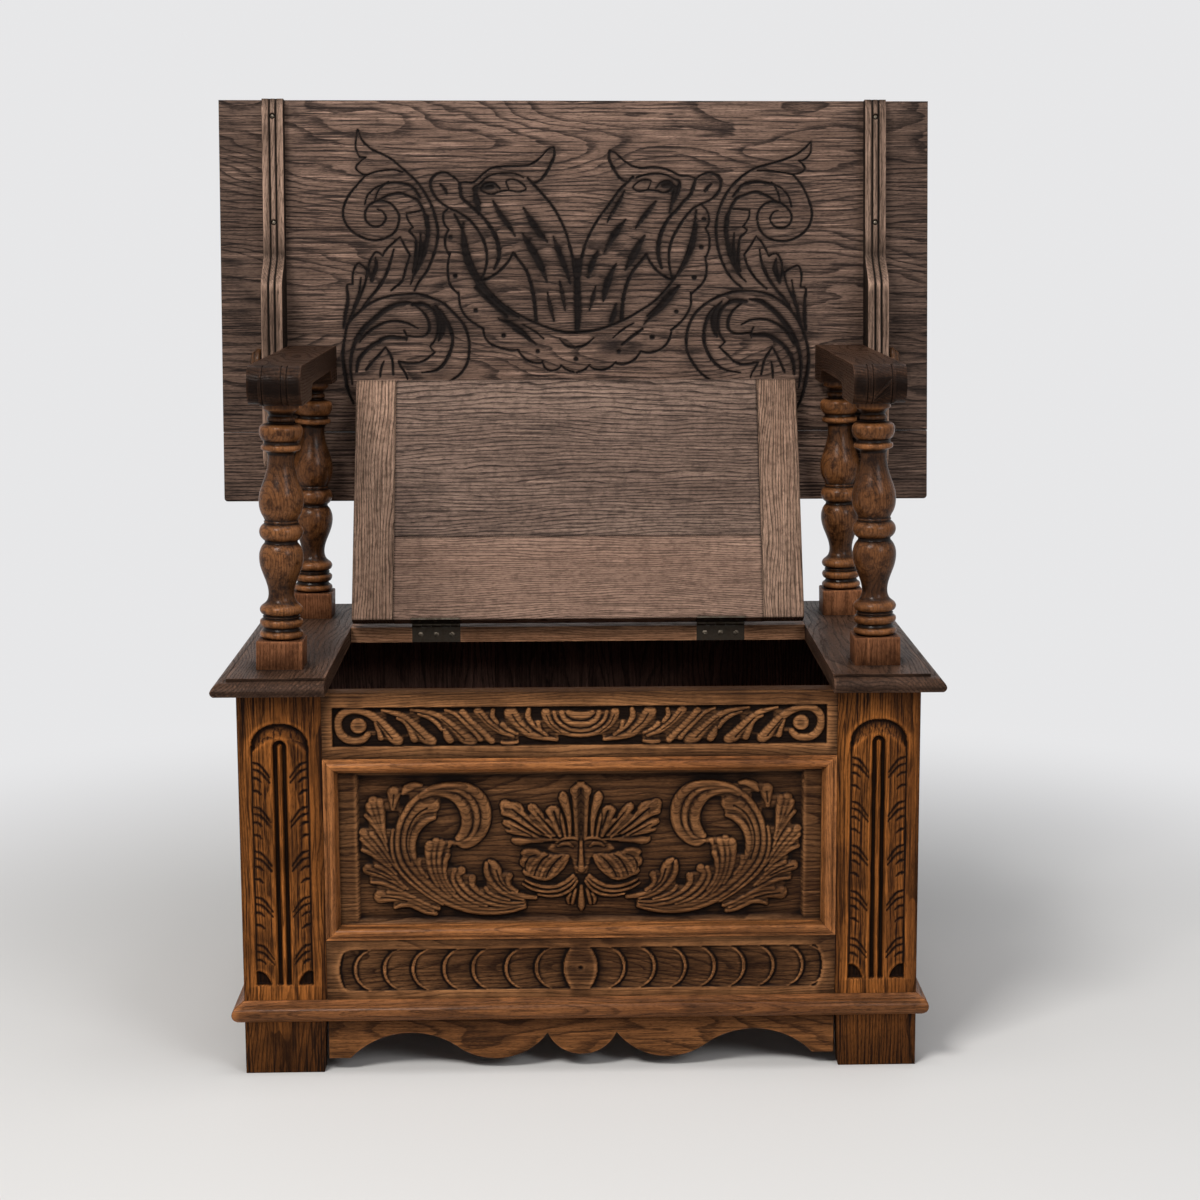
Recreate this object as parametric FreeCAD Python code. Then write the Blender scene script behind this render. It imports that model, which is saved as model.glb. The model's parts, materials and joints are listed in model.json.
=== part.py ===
import FreeCAD, Part
import math
import os

# Monks bench in oak: a panelled chest seat with a hinged lid, two arms on turned posts, and a
# table top that stands up behind the arms as a back rest, or tips down over them as a table.
# Millimetres. X runs across the bench, Y from its front to its back, Z up.
# The origin lies on the floor, under the middle of the seat.

V = FreeCAD.Vector

# Chest frame
chest_width = 690.0
chest_height = 397.0
stile_width = 84.6
frame_thickness = 22.0
top_rail_height = 68.0
bottom_rail_top = 140.0
rear_leg_size = 48.0
tenon_length = 26.0
tenon_thickness = 8.0
tenon_shoulder = 10.0
joint_clearance = 0.1
foot_chamfer = 5.0

# Sunk fields that hold the carving
stile_field_inset = 14.2
stile_field_width = 57.0
stile_field_bottom = 93.0
stile_field_top = 365.6
stile_field_depth = 5.0
reed_width = 8.0
reed_gap = 1.5
reed_crown_drop = 0.6
frieze_half_length = 249.5
frieze_height = 40.2
frieze_lift = 12.3
frieze_depth = 4.0
lunette_half_length = 248.0
lunette_height = 43.5
lunette_lift = 8.0
lunette_depth = 4.0

# Panels
panel_thickness = 12.0
panel_setback = 7.0
panel_tongue = 6.0
groove_depth = 8.0
panel_field_half_length = 229.0
panel_field_depth = 4.5
side_panel_setback = 6.0
panel_play = 0.5

# Panel moulding, measured in from its outer edge and out from the frame's face
moulding_width = 15.0
moulding_lip = 3.5
moulding_lip_rise = 1.0
moulding_bead_width = 9.0
moulding_bead_rise = 5.0

# Plinth moulding and apron
plinth_bottom = 55.0
plinth_height = 23.0
plinth_projection = 12.0
plinth_slope_width = 6.5
plinth_slope_drop = 4.5
plinth_under_slope = 1.5
apron_thickness = 16.0
apron_setback = 3.0
apron_end_drop = 41.6
apron_end_length = 22.4
apron_arch_drop = 15.4
apron_arch_at = 176.0
apron_bend_drop = 29.5
apron_bend_at = 130.0
apron_lobe_drop = 44.0
apron_lobe_at = 88.0
apron_cusp_drop = 17.4
apron_cusp_at = 35.6
apron_centre_drop = 40.5

# Chest floor and back
floor_thickness = 10.0
floor_height = 78.0
bearer_size = 18.0
back_board_thickness = 12.0
back_board_seam = 98.0
back_bottom_rail_top = 115.0
seam_gap = 0.2

# Seat
seat_thickness = 17.0
seat_depth = 486.0
seat_overhang = 23.0
seat_rear_overhang = 8.0
seat_end_width = 113.2
seat_step_inset = 14.6
seat_step_drop = 3.0
seat_step_shelf = 2.4
seat_nose_height = 5.5
seat_nose_under = 3.0
seat_nose_swell = 2.6
seat_nose_turn = 0.8
seat_back_depth = 171.0
seat_tongue_length = 8.0
seat_tongue_thickness = 6.0
seat_tongue_margin = 12.0

# Lid
lid_side_gap = 2.4
lid_front_setback = 5.0
lid_rest_gap = 0.3
lid_cleat_width = 46.0
lid_lower_board = 97.0
lid_tongue_length = 10.0
lid_tongue_thickness = 6.0

# Butt hinges of the lid
hinge_centre = 159.5
hinge_length = 54.0
hinge_leaf_thickness = 2.0
hinge_leaf_gap = 1.0
knuckle_radius = 2.5
knuckle_count = 5
knuckle_end_gap = 0.3
knuckle_lift = 0.2
pin_radius = 1.25
running_clearance = 0.05
hinge_screw_pitch = 18.0
hinge_screw_count = 3
hinge_screw_radius = 2.0
hinge_screw_length = 16.0

# Turned posts
post_block = 47.0
post_block_height = 29.0
post_spacing = 611.0
post_rake = 1.8
front_post_setback = 61.4
rear_post_inset = 84.4
post_tenon_radius = 9.0
post_tenon_length = 14.0
post_block_chamfer = 1.5

# Radii of the posts' turning
bead_radius = 21.0
hollow_radius = 17.2
neck_radius = 13.7
vase_radius = 22.0
rest_ring_radius = 21.4
cup_radius = 18.6
cap_radius = 21.2
shank_radius = 12.8
flare_radius = 16.0

# Arms
arm_top = 722.7
arm_thickness = 40.0
arm_inner_overhang = 31.0
arm_body_width = 42.5
arm_cheek_width = 11.0
arm_cheek_step = 1.6
arm_front_setback = 12.0
arm_arch_behind_front = 55.6
arm_arch_before_rear = 35.6
arm_arch_height = 16.0
arm_groove_depth = 0.9
arm_groove_width = 1.4
arm_groove_insets = (13.4, 19.0, 38.0)

# Pivot of the table top
pivot_drop = 19.0
pivot_inset = 5.5
peg_radius = 7.5
peg_seat_depth = 34.0
knob_gap = 0.3
knob_neck_radius = 12.0
knob_neck_length = 2.2
knob_radius = 16.0
knob_body_length = 7.0
knob_dome_length = 6.5
knob_end_radius = 9.0

# Table top
table_overhang = 50.4
table_board_widths = (145.0, 121.0, 112.0, 79.5)
table_thickness = 17.5
table_below_pivot = 158.6
table_corner_radius = 4.0
table_rest_gap = 0.5
table_post_gap = 1.5
lid_table_gap = 0.3

# Battens under the table top
batten_gap = 3.8
batten_width = 24.3
batten_slim_depth = 16.0
batten_deep_depth = 46.0
batten_ogee_start = 106.0
batten_ogee_length = 21.0
batten_end_below = 120.0
batten_end_radius = 16.0
batten_groove_inset = 7.0
batten_groove_width = 2.0
batten_groove_depth = 1.5
table_slide = 100.0
slot_clearance = 0.1
batten_screw_heights = (159.0, 279.0)
batten_screw_radius = 2.2
batten_screw_length = 28.0

# Places worked out from the sizes above
half_width = chest_width / 2
stile_inner = half_width - stile_width
seat_front = -seat_depth / 2
seat_rear = seat_depth / 2
front = seat_front + seat_overhang
back = seat_rear - seat_rear_overhang
top_rail_bottom = chest_height - top_rail_height
seat_top = chest_height + seat_thickness
seat_outer = half_width + seat_overhang
seat_inner = seat_outer - seat_end_width
hinge_y = seat_rear - seat_back_depth
pin_y = hinge_y - hinge_leaf_gap / 2
pin_z = seat_top + knuckle_radius + knuckle_lift
lid_rear = hinge_y - hinge_leaf_gap
lid_front = front + lid_front_setback
lid_length = lid_rear - lid_front
lid_half = seat_inner - lid_side_gap
lid_bottom = chest_height + lid_rest_gap
post_x = post_spacing / 2
front_post_y = front + front_post_setback
rear_post_y = seat_rear - rear_post_inset
block_top = seat_top + post_block_height
arm_bottom = arm_top - arm_thickness
arm_front = front + arm_front_setback
arm_inner = post_x - arm_inner_overhang
arm_rear = rear_post_y + post_block / 2
arm_outer = arm_inner + arm_body_width + arm_cheek_width
pivot_y = arm_rear - pivot_inset
pivot_z = arm_top - pivot_drop
table_offset = pivot_drop + table_rest_gap
table_length = sum(table_board_widths)
batten_inner = arm_outer + batten_gap
batten_outer = batten_inner + batten_width
table_width = 2 * (batten_outer + table_overhang)


def turned_height(share):
    """The height of a turned feature, from its share of the length between block and arm."""
    return block_top + share * (arm_bottom - block_top)


rest_ring_share = 0.466


def table_lean():
    """How far the raised table top leans back, resting on a ring of each rear post."""
    reach = rear_post_y + rest_ring_radius - pivot_y
    drop = pivot_z - turned_height(rest_ring_share)
    distance = math.hypot(reach, drop)
    return math.asin((table_offset - table_post_gap) / distance) - math.atan2(reach, drop)


def lid_lean(lean):
    """How far the open lid leans back, with its top edge against the raised table top."""
    length = hinge_leaf_gap / 2 + lid_length
    depth = pin_z - seat_top
    face_y = pivot_y + table_offset * math.cos(lean)
    face_z = pivot_z - table_offset * math.sin(lean)
    distance = math.cos(lean) * (face_y - pin_y) + math.sin(lean) * (pin_z - face_z)
    return lean + math.atan2(depth, length) + math.asin((distance - lid_table_gap) / math.hypot(length, depth))


table_angle = 90 + math.degrees(table_lean())
lid_angle = 90 + math.degrees(lid_lean(table_lean()))


def raised(shape):
    """The table top's pieces are drawn lying on the arms, and turned up to their rest here."""
    turned = shape.copy()
    turned.rotate(V(0, pivot_y, pivot_z), V(1, 0, 0), -table_angle)
    return turned


def opened(shape):
    """The lid's pieces are drawn shut, and turned up to their rest here."""
    turned = shape.copy()
    turned.rotate(V(0, pin_y, pin_z), V(1, 0, 0), -lid_angle)
    return turned


def mirrored(shape):
    return shape.mirror(V(0, 0, 0), V(1, 0, 0))


def block(x, y, z, grow=0.0):
    """A block between two values on each axis, grown on every side."""
    low = V(min(x) - grow, min(y) - grow, min(z) - grow)
    high = V(max(x) + grow, max(y) + grow, max(z) + grow)
    size = high - low
    return Part.makeBox(size.x, size.y, size.z, low)


def in_xz(x, z):
    return V(x, 0, z)


def in_yz(y, z):
    return V(0, y, z)


def in_xy(x, y):
    return V(x, y, 0)


def outline(place, start, steps):
    """A flat face: a step of one point is a line, and a step of two points is an arc."""
    edges = []
    here = place(*start)
    for step in steps:
        points = [here] + [place(*point) for point in step]
        if len(points) == 2:
            edges.append(Part.makeLine(points[0], points[1]))
        else:
            edges.append(Part.Arc(*points).toShape())
        here = points[-1]
    if here.distanceToPoint(place(*start)) > 1e-6:
        edges.append(Part.makeLine(here, place(*start)))
    return Part.Face(Part.Wire(edges))


def swollen(start, end, rise):
    """An arc's middle point, where the arc swells by a rise to the left of the way from start to end."""
    across = end[0] - start[0]
    along = end[1] - start[1]
    length = math.hypot(across, along)
    return (
        (start[0] + end[0]) / 2 - rise * along / length,
        (start[1] + end[1]) / 2 + rise * across / length,
    )


def rod(start, direction, length, radius):
    return Part.makeCylinder(radius, length, start, direction)


def rail(along, span, thick, height):
    """A rail with a tenon on each end, and the blocks that cut its mortises."""
    middle = sum(thick) / 2
    tenon_thick = (middle - tenon_thickness / 2, middle + tenon_thickness / 2)
    tenon_height = (height[0] + tenon_shoulder, height[1] - tenon_shoulder)
    ends = ((span[0] - tenon_length, span[0]), (span[1], span[1] + tenon_length))
    if along == "x":
        body = block(span, thick, height)
        tenons = [block(end, tenon_thick, tenon_height) for end in ends]
        mortises = [block(end, tenon_thick, tenon_height, joint_clearance) for end in ends]
    else:
        body = block(thick, span, height)
        tenons = [block(tenon_thick, end, tenon_height) for end in ends]
        mortises = [block(tenon_thick, end, tenon_height, joint_clearance) for end in ends]
    return body.fuse(tenons).removeSplitter(), mortises


# Front frame

front_y = (front, front + frame_thickness)
front_top_rail, front_top_mortises = rail("x", (-stile_inner, stile_inner), front_y, (top_rail_bottom, chest_height))
front_bottom_rail, front_bottom_mortises = rail(
    "x", (-stile_inner, stile_inner), front_y, (plinth_bottom, bottom_rail_top))


def stile_field():
    """The sunk, round-headed field of a front stile, around two convex columns and a reed."""
    radius = stile_field_width / 2
    centre = stile_inner + stile_field_inset + radius
    spring = stile_field_top - radius
    left = centre - radius
    right = centre + radius
    field = outline(in_xz, (left, stile_field_bottom), (
        ((right, stile_field_bottom),),
        ((right, spring),),
        ((centre, stile_field_top), (left, spring)),
    )).extrude(V(0, stile_field_depth, 0))
    rise = stile_field_depth - reed_crown_drop
    column_width = (stile_field_width - reed_width) / 2 - 2 * reed_gap
    column_shift = reed_width / 2 + reed_gap + column_width / 2
    columns = []
    for shift, width in ((0, reed_width), (-column_shift, column_width), (column_shift, column_width)):
        column_rise = min(rise, width / 2)
        column_radius = (width * width / 4 + column_rise * column_rise) / (2 * column_rise)
        axis = V(centre + shift, stile_field_depth - column_rise + column_radius, stile_field_bottom)
        columns.append(rod(axis, V(0, 0, 1), stile_field_top - stile_field_bottom, column_radius))
    field = field.cut(columns)
    field.translate(V(0, front, 0))
    return field


panel_y = (front + panel_setback, front + panel_setback + panel_thickness)
panel_tongue_y = (panel_y[1] - panel_tongue, panel_y[1])
panel_opening_x = (-stile_inner, stile_inner)
panel_opening_z = (bottom_rail_top, top_rail_bottom)


def front_panel_solid():
    """The front panel: a tongue all round, and a sunk ground for its carving."""
    body = block(panel_opening_x, panel_y, panel_opening_z, -panel_play)
    body = body.fuse(block(
        (-stile_inner - groove_depth + panel_play, stile_inner + groove_depth - panel_play),
        (panel_tongue_y[0], panel_y[1] - panel_play),
        (bottom_rail_top - groove_depth + panel_play, top_rail_bottom + groove_depth - panel_play),
    )).removeSplitter()
    ground = block(
        (-panel_field_half_length, panel_field_half_length),
        (panel_y[0] - panel_play, panel_y[0] + panel_field_depth),
        (bottom_rail_top + moulding_width, top_rail_bottom - moulding_width),
    )
    return body.cut(ground)


front_groove = block(
    (-stile_inner - groove_depth, stile_inner + groove_depth),
    (panel_tongue_y[0] - joint_clearance, panel_tongue_y[1] + joint_clearance),
    (bottom_rail_top - groove_depth, top_rail_bottom + groove_depth),
)
frieze_bottom = top_rail_bottom + frieze_lift
lunette_bottom = plinth_bottom + plinth_height + lunette_lift
front_top_rail = front_top_rail.cut([
    front_groove,
    block((-frieze_half_length, frieze_half_length), (front, front + frieze_depth),
          (frieze_bottom, frieze_bottom + frieze_height)),
])
front_bottom_rail = front_bottom_rail.cut([
    front_groove,
    block((-lunette_half_length, lunette_half_length), (front, front + lunette_depth),
          (lunette_bottom, lunette_bottom + lunette_height)),
])
front_panel = front_panel_solid()
foot_cut = outline(in_xz, (stile_inner, 0), (
    ((stile_inner + foot_chamfer, 0),),
    ((stile_inner, foot_chamfer),),
)).extrude(V(0, frame_thickness, 0))
foot_cut.translate(V(0, front, 0))
front_stile = block((stile_inner, half_width), front_y, (0, chest_height)).cut(
    front_top_mortises + front_bottom_mortises + [front_groove, stile_field(), foot_cut])


# Panel moulding, mitred at its corners

def moulding_profile():
    """The moulding's section, with its outer edge at 0 and the frame's face at 0."""
    bead_end = moulding_lip + moulding_bead_width
    return outline(in_xy, (0, panel_setback), (
        ((0, -moulding_lip_rise),),
        ((moulding_lip, -moulding_lip_rise),),
        ((moulding_lip + moulding_bead_width / 2, -moulding_bead_rise), (bead_end, -moulding_lip_rise)),
        ((moulding_width, panel_setback / 2),),
        ((moulding_width, panel_setback),),
    ))


def mitred_strip(length):
    """A strip of moulding along Z, from 0 to a length, cut at 45 degrees at both ends."""
    strip = moulding_profile().extrude(V(0, 0, length))
    reach = 2 * moulding_width
    low = outline(in_xz, (0, 0), (((reach, 0),), ((reach, reach),))).extrude(V(0, 2 * reach, 0))
    low.translate(V(0, -reach, 0))
    high = low.mirror(V(0, 0, length / 2), V(0, 0, 1))
    return strip.cut([low, high])


def panel_mouldings():
    """The four strips round the front panel."""
    height = top_rail_bottom - bottom_rail_top
    left = mitred_strip(height)
    left.translate(V(-stile_inner, front, bottom_rail_top))
    top = mitred_strip(2 * stile_inner)
    top.rotate(V(0, 0, 0), V(0, 1, 0), 90)
    bottom = top.mirror(V(0, 0, 0), V(0, 0, 1))
    top.translate(V(-stile_inner, front, top_rail_bottom))
    bottom.translate(V(-stile_inner, front, bottom_rail_top))
    return {"left": left, "right": mirrored(left), "top": top, "bottom": bottom}


# Plinth moulding round the front and both sides

def plinth_profile():
    """The plinth's section: out from the chest's face, and up from the floor."""
    top = plinth_bottom + plinth_height
    nose_top = top - plinth_slope_drop
    nose_bottom = plinth_bottom + plinth_under_slope
    return outline(in_yz, (0, plinth_bottom), (
        ((0, top),),
        ((-plinth_slope_width, nose_top),),
        ((-plinth_projection, (nose_top + nose_bottom) / 2), (-plinth_slope_width, nose_bottom)),
    ))


def plinths():
    """The front and side lengths of the plinth, mitred where they meet."""
    reach = 4 * plinth_projection
    strip = plinth_profile().extrude(V(chest_width + 2 * plinth_projection, 0, 0))
    strip.translate(V(-half_width - plinth_projection, front, 0))
    corner = outline(in_xy, (0, 0), (((reach, 0),), ((reach, -reach),))).extrude(V(0, 0, chest_height))
    corner.translate(V(half_width, front, 0))
    front_strip = strip.cut([corner, mirrored(corner)])
    side_strip = plinth_profile().extrude(V(back - front + plinth_projection, 0, 0))
    side_strip.rotate(V(0, 0, 0), V(0, 0, 1), 90)
    side_strip.translate(V(half_width, front - plinth_projection, 0))
    beyond = outline(in_xy, (0, 0), (((reach, -reach),), ((-reach, -reach),), ((-reach, 0),)))
    beyond = beyond.extrude(V(0, 0, chest_height))
    beyond.translate(V(half_width, front, 0))
    return front_strip, side_strip.cut(beyond)


def apron_solid():
    """The shaped apron under the front of the plinth: an arch, a lobe and a cusp each side of a round."""
    top = plinth_bottom
    foot = stile_inner - joint_clearance
    end = top - apron_end_drop
    flat = (stile_inner - apron_end_length, end)
    arch = (apron_arch_at, top - apron_arch_drop)
    bend = (apron_bend_at, top - apron_bend_drop)
    lobe = (apron_lobe_at, top - apron_lobe_drop)
    cusp = (apron_cusp_at, top - apron_cusp_drop)

    def other(point):
        return (-point[0], point[1])

    face = outline(in_xz, (foot, top), (
        ((foot, end),),
        (flat,),
        (arch, bend),
        (lobe, cusp),
        ((0, top - apron_centre_drop), other(cusp)),
        (other(lobe), other(bend)),
        (other(arch), other(flat)),
        ((-foot, end),),
        ((-foot, top),),
    ))
    apron = face.extrude(V(0, apron_thickness, 0))
    apron.translate(V(0, front + apron_setback, 0))
    return apron


# Sides and back of the chest

side_x = (half_width - frame_thickness, half_width)
side_stile_y = (front + frame_thickness, front + stile_width)
rear_leg_y = (back - rear_leg_size, back)
rear_leg_x = (half_width - rear_leg_size, half_width)
side_span = (side_stile_y[1], rear_leg_y[0])
side_top_rail, side_top_mortises = rail("y", side_span, side_x, (top_rail_bottom, chest_height))
side_bottom_rail, side_bottom_mortises = rail("y", side_span, side_x, (plinth_bottom, bottom_rail_top))
back_y = (back - frame_thickness, back)
back_span = (-rear_leg_x[0], rear_leg_x[0])
back_top_rail, back_top_mortises = rail("x", back_span, back_y, (top_rail_bottom, chest_height))
back_bottom_rail, back_bottom_mortises = rail("x", back_span, back_y, (plinth_bottom, back_bottom_rail_top))
side_panel_x = (half_width - side_panel_setback - panel_thickness, half_width - side_panel_setback)
side_panel_space = (
    (side_panel_x[0] - joint_clearance, side_panel_x[0] + panel_tongue + joint_clearance),
    (side_span[0] - groove_depth, side_span[1] + groove_depth),
    (bottom_rail_top - groove_depth, top_rail_bottom + groove_depth),
)
side_groove = block(*side_panel_space)
side_panel = block(side_panel_x, side_span, panel_opening_z, -panel_play).fuse(block(
    (side_panel_x[0] + panel_play, side_panel_x[0] + panel_tongue),
    (side_span[0] - groove_depth + panel_play, side_span[1] + groove_depth - panel_play),
    (bottom_rail_top - groove_depth + panel_play, top_rail_bottom + groove_depth - panel_play),
)).removeSplitter()
side_top_rail = side_top_rail.cut(side_groove)
side_bottom_rail = side_bottom_rail.cut(side_groove)
side_stile = block(side_x, side_stile_y, (0, chest_height)).cut(
    side_top_mortises + side_bottom_mortises + [side_groove])
rear_leg = block(rear_leg_x, rear_leg_y, (0, chest_height)).cut(
    side_top_mortises + side_bottom_mortises + back_top_mortises + back_bottom_mortises + [side_groove])

back_board_y = (back_y[0] - back_board_thickness, back_y[0])
back_board_z = (floor_height + floor_thickness, chest_height)
back_board_edges = (-rear_leg_x[0], -back_board_seam, back_board_seam, rear_leg_x[0])


def back_board(index):
    span = (back_board_edges[index] + seam_gap / 2, back_board_edges[index + 1] - seam_gap / 2)
    return block(span, back_board_y, back_board_z)


floor_x = (-side_x[0] + joint_clearance, side_x[0] - joint_clearance)
floor_y = (front_y[1], back_y[0])
floor_z = (floor_height, floor_height + floor_thickness)
floor_seam = sum(floor_y) / 2
leg_room = block(rear_leg_x, rear_leg_y, floor_z, joint_clearance)
floor_board_front = block(floor_x, (floor_y[0] + joint_clearance, floor_seam - seam_gap / 2), floor_z)
floor_board_rear = block(floor_x, (floor_seam + seam_gap / 2, floor_y[1] - joint_clearance), floor_z).cut(
    [leg_room, mirrored(leg_room)])


def floor_bearers_solids():
    """Two strips inside the bottom rails that carry the chest's floor."""
    z = (floor_height - bearer_size, floor_height)
    front_bearer = block(panel_opening_x, (floor_y[0], floor_y[0] + bearer_size), z)
    rear_bearer = block(back_span, (floor_y[1] - bearer_size, floor_y[1]), z)
    return Part.makeCompound([front_bearer, rear_bearer])


# Turned posts

def turned_profile(tip):
    """Half of a post's section above its block: each turned feature by its share of the height."""
    features = (
        (0.0, bead_radius),
        (0.056, hollow_radius),
        (0.130, bead_radius),
        (0.178, neck_radius),
        (0.355, vase_radius),
        (0.425, hollow_radius),
        (rest_ring_share, rest_ring_radius),
        (0.512, hollow_radius),
        (0.600, vase_radius),
        (0.786, neck_radius),
        (0.825, cup_radius),
        (0.915, cap_radius),
        (0.922, shank_radius),
        (1.0, flare_radius),
    )
    steps = [((radius, turned_height(share)),) for share, radius in features]
    return outline(in_xz, (0, block_top), steps + [((flare_radius, tip),), ((0, tip),)])


def post(y):
    """A turned post on its square block, raked inwards, with a round tenon at each end."""
    spill = post_block
    body = turned_profile(arm_bottom + spill).revolve(V(0, 0, 0), V(0, 0, 1), 360)
    half = post_block / 2
    base = block((-half, half), (-half, half), (seat_top - spill, block_top))
    upper = [edge for edge in base.Edges if edge.BoundBox.ZMin > block_top - 1e-6]
    base = base.makeChamfer(post_block_chamfer, upper)
    body = body.fuse(base)
    tenons = [
        rod(V(0, 0, seat_top - post_tenon_length), V(0, 0, 1), spill, post_tenon_radius),
        rod(V(0, 0, arm_bottom + post_tenon_length), V(0, 0, -1), spill, post_tenon_radius),
    ]
    place = FreeCAD.Placement(
        V(post_x, y, seat_top), FreeCAD.Rotation(V(0, 1, 0), -post_rake), V(0, 0, 0))
    lower = FreeCAD.Placement(V(0, 0, -seat_top), FreeCAD.Rotation())
    for shape in [body] + tenons:
        shape.Placement = place.multiply(lower)
    reach = 4 * post_block
    between = block((post_x - reach, post_x + reach), (y - reach, y + reach), (seat_top, arm_bottom))
    return body.common(between).fuse(tenons).removeSplitter()


def post_holes(y):
    """Room for a post's two round tenons, in the seat and in the arm."""
    reach = post_tenon_length + 2 * joint_clearance
    holes = [
        rod(V(0, 0, -reach), V(0, 0, 1), 2 * reach, post_tenon_radius + joint_clearance),
        rod(V(0, 0, arm_bottom - seat_top - reach), V(0, 0, 1), 2 * reach, post_tenon_radius + joint_clearance),
    ]
    for hole in holes:
        hole.Placement = FreeCAD.Placement(
            V(post_x, y, seat_top), FreeCAD.Rotation(V(0, 1, 0), -post_rake)).multiply(hole.Placement)
    return holes


# Seat

def seat_edge(place, inner, outer):
    """The seat's section: plain inside, and outside a step over a swelling nose."""
    top = seat_top
    step = outer - seat_step_inset
    shelf = step + seat_step_shelf
    shelf_z = top - seat_step_drop
    corner = (shelf, shelf_z)
    nose = (outer, chest_height + seat_nose_height)
    under = (outer - seat_nose_under, chest_height)
    return outline(place, (inner, chest_height), (
        ((inner, top),),
        ((step, top),),
        ((step, shelf_z),),
        (corner,),
        (swollen(corner, nose, seat_nose_swell), nose),
        (swollen(nose, under, seat_nose_turn), under),
    ))


seat_back_space = (
    (-seat_inner + joint_clearance, seat_inner - joint_clearance),
    (hinge_y, seat_rear),
    (chest_height, seat_top),
)
seat_tongue_z = (
    (chest_height + seat_top - seat_tongue_thickness) / 2,
    (chest_height + seat_top + seat_tongue_thickness) / 2,
)
seat_tongue_y = (hinge_y + seat_tongue_margin, seat_rear - seat_tongue_margin)


def seat_end_solid():
    """The right-hand seat plank, moulded along its front and its outer side."""
    side = seat_edge(in_xz, seat_inner, seat_outer).extrude(V(0, seat_depth, 0))
    side.translate(V(0, seat_front, 0))
    front_run = seat_edge(lambda out, z: V(0, -out, z), -seat_depth, 0).extrude(V(seat_outer, 0, 0))
    front_run.translate(V(0, seat_front, 0))
    plank = side.common(front_run)
    groove = block(
        (seat_inner - seat_tongue_length, seat_inner + seat_tongue_length), seat_tongue_y, seat_tongue_z,
        joint_clearance)
    return plank.cut([groove] + post_holes(front_post_y) + post_holes(rear_post_y))


def seat_back_solid():
    """The fixed board behind the lid, tongued into both seat planks."""
    tongue_x = (-seat_inner - seat_tongue_length, seat_inner + seat_tongue_length)
    board = block(*seat_back_space).fuse(block(tongue_x, seat_tongue_y, seat_tongue_z)).removeSplitter()
    return board.cut(hinge_rooms("seat"))


# Lid, drawn shut

lid_cleat_inner = lid_half - lid_cleat_width
lid_board_seam = lid_rear - lid_lower_board
lid_tongue_z = (
    (lid_bottom + seat_top - lid_tongue_thickness) / 2,
    (lid_bottom + seat_top + lid_tongue_thickness) / 2,
)


def lid_board(y_low, y_high):
    """One of the lid's two boards, tongued into both cleats."""
    y = (y_low, y_high)
    body = block((-lid_cleat_inner, lid_cleat_inner), y, (lid_bottom, seat_top))
    reach = lid_cleat_inner + lid_tongue_length
    tongue_y = (y_low + lid_tongue_length, y_high - lid_tongue_length)
    return body.fuse(block((-reach, reach), tongue_y, lid_tongue_z)).removeSplitter()


def lid_cleat():
    """The right-hand cleat across the ends of the lid's boards."""
    body = block((lid_cleat_inner, lid_half), (lid_front, lid_rear), (lid_bottom, seat_top))
    rooms = []
    for y_low, y_high in ((lid_front, lid_board_seam), (lid_board_seam, lid_rear)):
        rooms.append(block(
            (lid_cleat_inner - lid_tongue_length, lid_cleat_inner + lid_tongue_length),
            (y_low + lid_tongue_length, y_high - lid_tongue_length), lid_tongue_z, joint_clearance))
    return body.cut(rooms)


# Butt hinges, drawn shut

def hinge_leaf(centre, part):
    """One leaf with its own knuckles: part is seat or lid."""
    if part == "seat":
        y = (hinge_y, hinge_y + hinge_leaf_thickness)
        bottom = chest_height
        own = 0
    else:
        y = (lid_rear - hinge_leaf_thickness, lid_rear)
        bottom = lid_bottom
        own = 1
    low = centre - hinge_length / 2
    leaf = block((low, low + hinge_length), y, (bottom, seat_top))
    pitch = hinge_length / knuckle_count
    knuckles = []
    for index in range(own, knuckle_count, 2):
        x = (low + index * pitch + knuckle_end_gap / 2, low + (index + 1) * pitch - knuckle_end_gap / 2)
        knuckles.append(block(x, y, (seat_top, pin_z)))
        knuckles.append(rod(V(x[0], pin_y, pin_z), V(1, 0, 0), x[1] - x[0], knuckle_radius))
    bore = rod(V(low, pin_y, pin_z), V(1, 0, 0), hinge_length, pin_radius + running_clearance)
    return leaf.fuse(knuckles).cut([bore] + hinge_screws(centre, part)).removeSplitter()


def hinge_screws(centre, part):
    """The screws of one leaf."""
    face = hinge_y if part == "seat" else lid_rear
    way = V(0, 1, 0) if part == "seat" else V(0, -1, 0)
    screws = []
    for index in range(hinge_screw_count):
        x = centre + (index - (hinge_screw_count - 1) / 2) * hinge_screw_pitch
        start = V(x, face, (chest_height + seat_top) / 2)
        screws.append(rod(start, way, hinge_screw_length, hinge_screw_radius))
    return screws


def hinge_rooms(part):
    """What both hinges take out of the edge that they are let into."""
    y = (hinge_y, hinge_y + hinge_leaf_thickness) if part == "seat" else (lid_rear - hinge_leaf_thickness, lid_rear)
    rooms = []
    for centre in (-hinge_centre, hinge_centre):
        rooms.append(block((centre - hinge_length / 2, centre + hinge_length / 2), y, (chest_height, seat_top)))
        rooms.extend(hinge_screws(centre, part))
    return rooms


def hinge_pin(centre):
    return rod(V(centre - hinge_length / 2, pin_y, pin_z), V(1, 0, 0), hinge_length, pin_radius)


# Arms

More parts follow.
